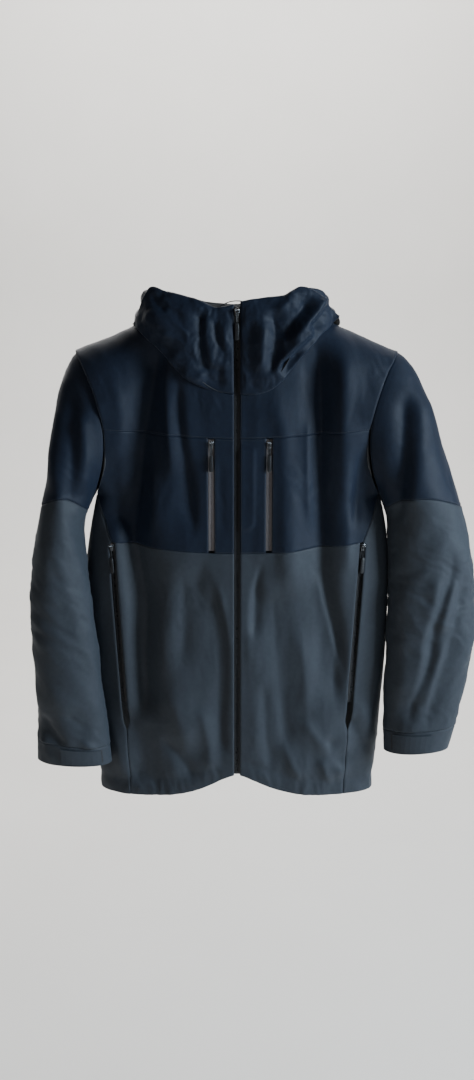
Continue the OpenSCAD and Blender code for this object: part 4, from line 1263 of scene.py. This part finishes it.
def repeatTree(name):  # repeats a small rounded bar along the edges of a mesh
    tree = bpy.data.node_groups.new(name, "GeometryNodeTree")
    face = tree.interface
    face.new_socket("Geometry", in_out="INPUT", socket_type="NodeSocketGeometry")
    sockets = {}
    for label, kind in (
            ("Spacing", "NodeSocketFloat"), ("Bar", "NodeSocketVector"), ("Follow", "NodeSocketFloat"),
                        ("Finish", "NodeSocketMaterial")):
        sockets[label] = face.new_socket(label, in_out="INPUT", socket_type=kind).identifier
    face.new_socket("Geometry", in_out="OUTPUT", socket_type="NodeSocketGeometry")
    n, link = tree.nodes, tree.links
    start, end = n.new("NodeGroupInput"), n.new("NodeGroupOutput")
    curve, spaced_ = n.new("GeometryNodeMeshToCurve"), n.new("GeometryNodeResampleCurve")
    bar = n.new("GeometryNodeMeshUVSphere")
    spaced_.mode = "LENGTH"
    bar.inputs["Segments"].default_value, bar.inputs["Rings"].default_value = 6, 4
    bar.inputs["Radius"].default_value = 0.5
    shape = n.new("GeometryNodeTransform")
    tangent, align = n.new("GeometryNodeInputTangent"), n.new("FunctionNodeAlignRotationToVector")
    turn = n.new("GeometryNodeInstanceOnPoints")
    align.axis = "Z"
    link.new(start.outputs[0], curve.inputs[0])
    link.new(curve.outputs[0], spaced_.inputs["Curve"])
    link.new(start.outputs["Spacing"], spaced_.inputs["Length"])
    link.new(bar.outputs["Mesh"], shape.inputs["Geometry"])
    link.new(start.outputs["Bar"], shape.inputs["Scale"])
    link.new(tangent.outputs[0], align.inputs["Vector"])
    link.new(start.outputs["Follow"], align.inputs["Factor"])
    link.new(spaced_.outputs[0], turn.inputs["Points"])
    link.new(shape.outputs[0], turn.inputs["Instance"])
    link.new(align.outputs[0], turn.inputs["Rotation"])
    real, paint = n.new("GeometryNodeRealizeInstances"), n.new("GeometryNodeSetMaterial")
    link.new(turn.outputs[0], real.inputs[0])
    link.new(real.outputs[0], paint.inputs["Geometry"])
    link.new(start.outputs["Finish"], paint.inputs["Material"])
    link.new(paint.outputs[0], end.inputs[0])
    return tree, sockets


repeatNodes, repeatSockets = repeatTree("repeatAlong")


def repeatAlong(name, paths, spacing, bar, finish, follow=1.0):  # paths in millimetres
    verts, edges, base = [], [], 0
    for path in paths:
        path = np.asarray(path, float) * mm
        verts += path.tolist()
        edges += [(base + i, base + i + 1) for i in range(len(path) - 1)]
        base += len(path)
    mesh = bpy.data.meshes.new(name + "Path")
    mesh.from_pydata(verts, edges, [])
    source = bpy.data.objects.new(name + "Path", mesh)
    bpy.context.scene.collection.objects.link(source)
    m = source.modifiers.new("repeat", "NODES")
    m.node_group = repeatNodes
    m[repeatSockets["Spacing"]] = spacing * mm
    m[repeatSockets["Bar"]] = [b * mm for b in bar]
    m[repeatSockets["Follow"]] = follow
    m[repeatSockets["Finish"]] = finish
    bpy.context.view_layer.update()
    made = bpy.data.meshes.new_from_object(source.evaluated_get(bpy.context.evaluated_depsgraph_get()))
    made.name = name
    bpy.data.objects.remove(source)
    obj = bpy.data.objects.new(name, made)
    bpy.context.scene.collection.objects.link(obj)
    made.polygons.foreach_set("use_smooth", np.ones(len(made.polygons), bool))
    return obj


def zipTapes(name, kind, side, length, halfW, tape, coil):
    place = placer(kind, side)
    shapes = []
    t = zipShape["tapeY"]
    for s in (-1, 1):
        x0, x1 = sorted((s * zipShape["coilIn"], s * halfW))
        shapes.append((*roundedBox((x0, -t, -length), (x1, t, 0), 0.2, 1), 0))
        bead0, bead1 = sorted((s * (zipShape["coilOut"] + 0.1), s * (zipShape["coilOut"] + 1.1)))
        shapes.append((*roundedBox((bead0, -t - 0.35, -length), (bead1, t + 0.2, 0), 0.3, 2), 0))
    piece = gatherMesh(name + "_tapes", shapes, (tape,), place, side < 0 and kind == "hand")
    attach(piece, "root")
    pitch = 1.3  # the two rows of teeth are half a pitch apart
    rows = []
    for s in (-1, 1):
        start = -0.6 - (pitch / 2 if s > 0 else 0)
        rows.append(place([(s * 1.05, -0.55, start), (s * 1.05, -0.55, -length + 0.6)]))
    teeth = repeatAlong(name + "_teeth", rows, pitch, (2.5, 1.7, 0.85), coil, follow=0)
    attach(teeth, "root")
    return piece, teeth


mainLength = zips["mainTop"] - mainBottomZ
piece, teeth = zipTapes("main_zip", "main", 1, mainLength, zipShape["mainTapeW"], blackTape, coilPlastic)
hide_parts("main_zip_tapes")
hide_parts("main_zip_coils")
for side, word in ((-1, "left"), (1, "right")):
    piece, teeth = zipTapes(
        f"chest_zip_{word}", "chest", side, zips["chestLength"], zipShape["chestTapeW"], paleTape, paleCoil)
    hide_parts(f"chest_zip_{word}")
    piece, teeth = zipTapes(
        f"hand_zip_{word}", "hand", side, zips["handLength"], zipShape["handTapeW"], blackTape, coilPlastic)
    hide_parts(f"hand_zip_{word}")


def sliderShapes():
    w, l, t = zipShape["sliderW"], zipShape["sliderL"], zipShape["plateT"]
    plateY = zipShape["coilY"] + 0.5
    outline = [(-w * 0.62, -l / 2), (w * 0.62, -l / 2), (w * 0.8, -l * 0.1), (w, l * 0.22),
               (w * 0.9, l * 0.4), (w * 0.35, l / 2), (-w * 0.35, l / 2), (-w * 0.9, l * 0.4),
               (-w, l * 0.22), (-w * 0.8, -l * 0.1)]
    shapes = [(*plateShape(outline, y, y + t, 0.35), 0) for y in (-plateY - t, plateY)]
    shapes.append((*roundedBox((-0.4, -plateY - 0.1, 0), (0.4, plateY + 0.1, l / 2 - 1), 0.1, 1), 0))
    for s in (-1, 1):
        x0, x1 = sorted((s * zipShape["earX"], s * (zipShape["earX"] + zipShape["earT"])))
        low, high = (x0, pinY - 1.2, zipShape["pinZ"] - 1.5), (x1, -plateY - 0.2, zipShape["pinZ"] + 1.5)
        shapes.append((*roundedBox(low, high, 0.35, 2), 0))
    pin = [(x, pinY, zipShape["pinZ"]) for x in np.linspace(-2.9, 2.9, 6)]
    shapes.append((*tube(pin, zipShape["pinR"], 14), 0))
    return shapes


def pullerShapes(gripShare=0.58):
    length, pinZ = zipShape["pullerL"], zipShape["pinZ"]
    grip = gripShare * length
    around = np.linspace(0, 2 * math.pi, 20, endpoint=False)
    eye = [(x * 0, pinY + 1.5 * math.cos(x), pinZ + 1.5 * math.sin(x)) for x in around]
    shapes = []
    for x in (-1.1, 1.1):  # two eyes carry the strap on the pin
        shapes.append((*tube([(x, p[1], p[2]) for p in eye], 0.48, 8, closed=True), 0))
    neck = pinZ - length + grip
    strap = [(0, pinY, pinZ - 1.8 - t * (length - grip - 2.2)) for t in np.linspace(0, 1, 10)]
    for x in (-1.0, 1.0):
        shapes.append((*tube([(x, p[1], p[2]) for p in strap], 0.62, 8), 1))
    outline = [(-1.9, neck), (1.9, neck), (2.7, neck - 3), (2.9, neck - grip * 0.5), (2.9, pinZ - length + 2),
               (1.9, pinZ - length), (-1.9, pinZ - length), (-2.9, pinZ - length + 2),
               (-2.9, neck - grip * 0.5), (-2.7, neck - 3)]
    shapes.append((*plateShape(outline, pinY - 1.5, pinY + 1.5, 0.6), 1))
    for k in range(6):
        z = neck - 5 - k * 2.4
        shapes.append((*roundedBox((-2.2, pinY - 1.75, z - 0.5), (2.2, pinY + 1.7, z + 0.5), 0.25, 1), 1))
    return shapes


def buildSlider(kind, side, word, metal, grip):
    base = placer(kind, side)

    def place(p):
        return base(np.asarray(p, float) + np.array([0, 0, -sliderRest]))

    name = f"{kind}_slider" + word
    piece = gatherMesh(name + "_metal", sliderShapes(), (metal,), place, False)
    outwardFaces(piece)
    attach(piece, name)
    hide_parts(name)
    pullerName = f"{kind}_puller" + word
    piece = gatherMesh(pullerName + "_grip", pullerShapes(), (metal, grip), place, False)
    outwardFaces(piece)
    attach(piece, pullerName)
    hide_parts(pullerName)


buildSlider("main", 1, "", zipMetal, darkGrip)
for side, word in ((-1, "_left"), (1, "_right")):
    buildSlider("chest", side, word, zipMetal, darkGrip)
    buildSlider("hand", side, word, zipMetal, darkGrip)
print("zips ready")

# Nodes that keep their own shape

keptFinishes = {
    "hem_drawcord": elasticCord, "cord_locks": blackPlastic,
    "plunger_left": darkGrip, "plunger_right": darkGrip,
    "hem_facing": greyShell,
    "hanger_loop": loopWeb,
    "cuff_patch_left": patchPile, "cuff_patch_right": patchPile,
    "cuff_tab_left": greyShell, "cuff_tab_right": greyShell,
}
for name, finish in keptFinishes.items():
    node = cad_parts[name]
    node.data.materials.clear()
    node.data.materials.append(finish)

# Springs of the cord locks: each is a coil of wire that fills the box of its part

spring = dict(turns=5.5, wire=0.45, press=3.0)
for word in ("left", "right"):
    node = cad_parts["plunger_spring_" + word]
    corners = np.array([node.matrix_world @ Vector(corner) for corner in node.bound_box]) / mm
    low, high = corners.min(0), corners.max(0)
    share = np.linspace(0, 1, 150)
    turn = share * spring["turns"] * 2 * math.pi
    reach, rise = (high[0] - low[0]) / 2 - spring["wire"], high[2] - low[2] - 2 * spring["wire"]
    path = (low + high) / 2 + np.stack([reach * np.cos(turn), reach * np.sin(turn), (share - 0.5) * rise], -1)
    wire = [(*tube(path, spring["wire"], 8), 0)]
    coil = gatherMesh(f"plunger_spring_{word}_wire", wire, (springSteel,), np.asarray, False)
    outwardFaces(coil)
    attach(coil, "root")
    top = ((low[0] + high[0]) / 2 * mm, (low[1] + high[1]) / 2 * mm, high[2] * mm)
    1 - spring["press"] / (high[2] - low[2])
    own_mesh(coil)
    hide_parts("plunger_spring_" + word)

# Topstitching along the seams

for group, rows in stitchRows.items():
    threads = repeatAlong(f"stitches_{group}", rows, 3.0, (0.5, 0.5, 2.1), stitchThread)
    if "sleeve" in group:
        bendWithSleeve(threads, -1 if "left" in group else 1)
    else:
        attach(threads, "root")
print("stitches ready")


# Camera, light and floor

view = dict(distance=1.618, height=-0.020, pitch=11.9, lens=35.57)
camera = bpy.data.objects.new("camera", bpy.data.cameras.new("camera"))
bpy.context.scene.collection.objects.link(camera)
camera.data.lens, camera.data.sensor_width = view["lens"], 36
camera.location = (0, -view["distance"], view["height"])
camera.rotation_euler = (math.radians(90 - view["pitch"]), 0, 0)
bpy.context.scene.camera = camera


def softLight(name, place, target, size, energy, colour):
    light = bpy.data.lights.new(name, "AREA")
    light.shape, light.size, light.size_y = "RECTANGLE", size[0], size[1]
    light.energy, light.color = energy, colour
    obj = bpy.data.objects.new(name, light)
    bpy.context.scene.collection.objects.link(obj)
    obj.location = place
    obj.rotation_euler = (Vector(target) - Vector(place)).to_track_quat("-Z", "Y").to_euler()


softLight("windowLight", (2.3, -0.95, 0.30), (0, 0, -0.4), (0.8, 1.3), 98, (0.74, 0.88, 1.0))
softLight("roomLight", (-1.4, -2.6, 0.9), (0, 0, -0.4), (1.6, 1.4), 7, (1.0, 0.90, 0.82))
softLight("wallLight", (0.0, 2.3, 3.0), (0, 4.6, -0.2), (4.0, 0.8), 230, (1.0, 0.98, 0.95))
softLight("floorLight", (0.0, 1.5, 2.6), (0, 1.9, -1.3), (3.0, 1.0), 60, (1.0, 0.98, 0.95))
softLight("backLight", (-0.9, 1.3, 0.6), (0, 0, -0.4), (1.2, 1.2), 14, (1.0, 0.97, 0.94))
world = bpy.data.worlds.new("studio")
world.use_nodes = True
world.node_tree.nodes["Background"].inputs["Color"].default_value = (0.80, 0.80, 0.79, 1)
world.node_tree.nodes["Background"].inputs["Strength"].default_value = 0.09
bpy.context.scene.world = world

floorFinish = Finish("floorPaint", roughness=0.8)
paint = floorFinish.blendColours(floorFinish.noise(3, 2), (0.78, 0.765, 0.74), (0.84, 0.825, 0.80))
floorFinish.feed("Base Color", paint)
coveTurn = np.linspace(0, math.pi / 2, 16)
curved = [(3.0 + 1.5 * math.sin(t), 0.15 - 1.5 * math.cos(t)) for t in coveTurn]
coveLine = [(-9.0, -1.35)] + curved + [(4.5, 6.0)]
coveVerts = [(x, y, z) for x in (-12, 12) for y, z in coveLine]
coveFaces = [[i, i + len(coveLine), i + 1 + len(coveLine), i + 1] for i in range(len(coveLine) - 1)]
backdrop = makeObject("backdrop", coveVerts, coveFaces, (floorFinish.material,))
backdrop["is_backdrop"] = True
print("stage ready", flatSizes)

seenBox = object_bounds()
[[list(map(float, corner)) for corner in box] for box in (cadBox, seenBox)]
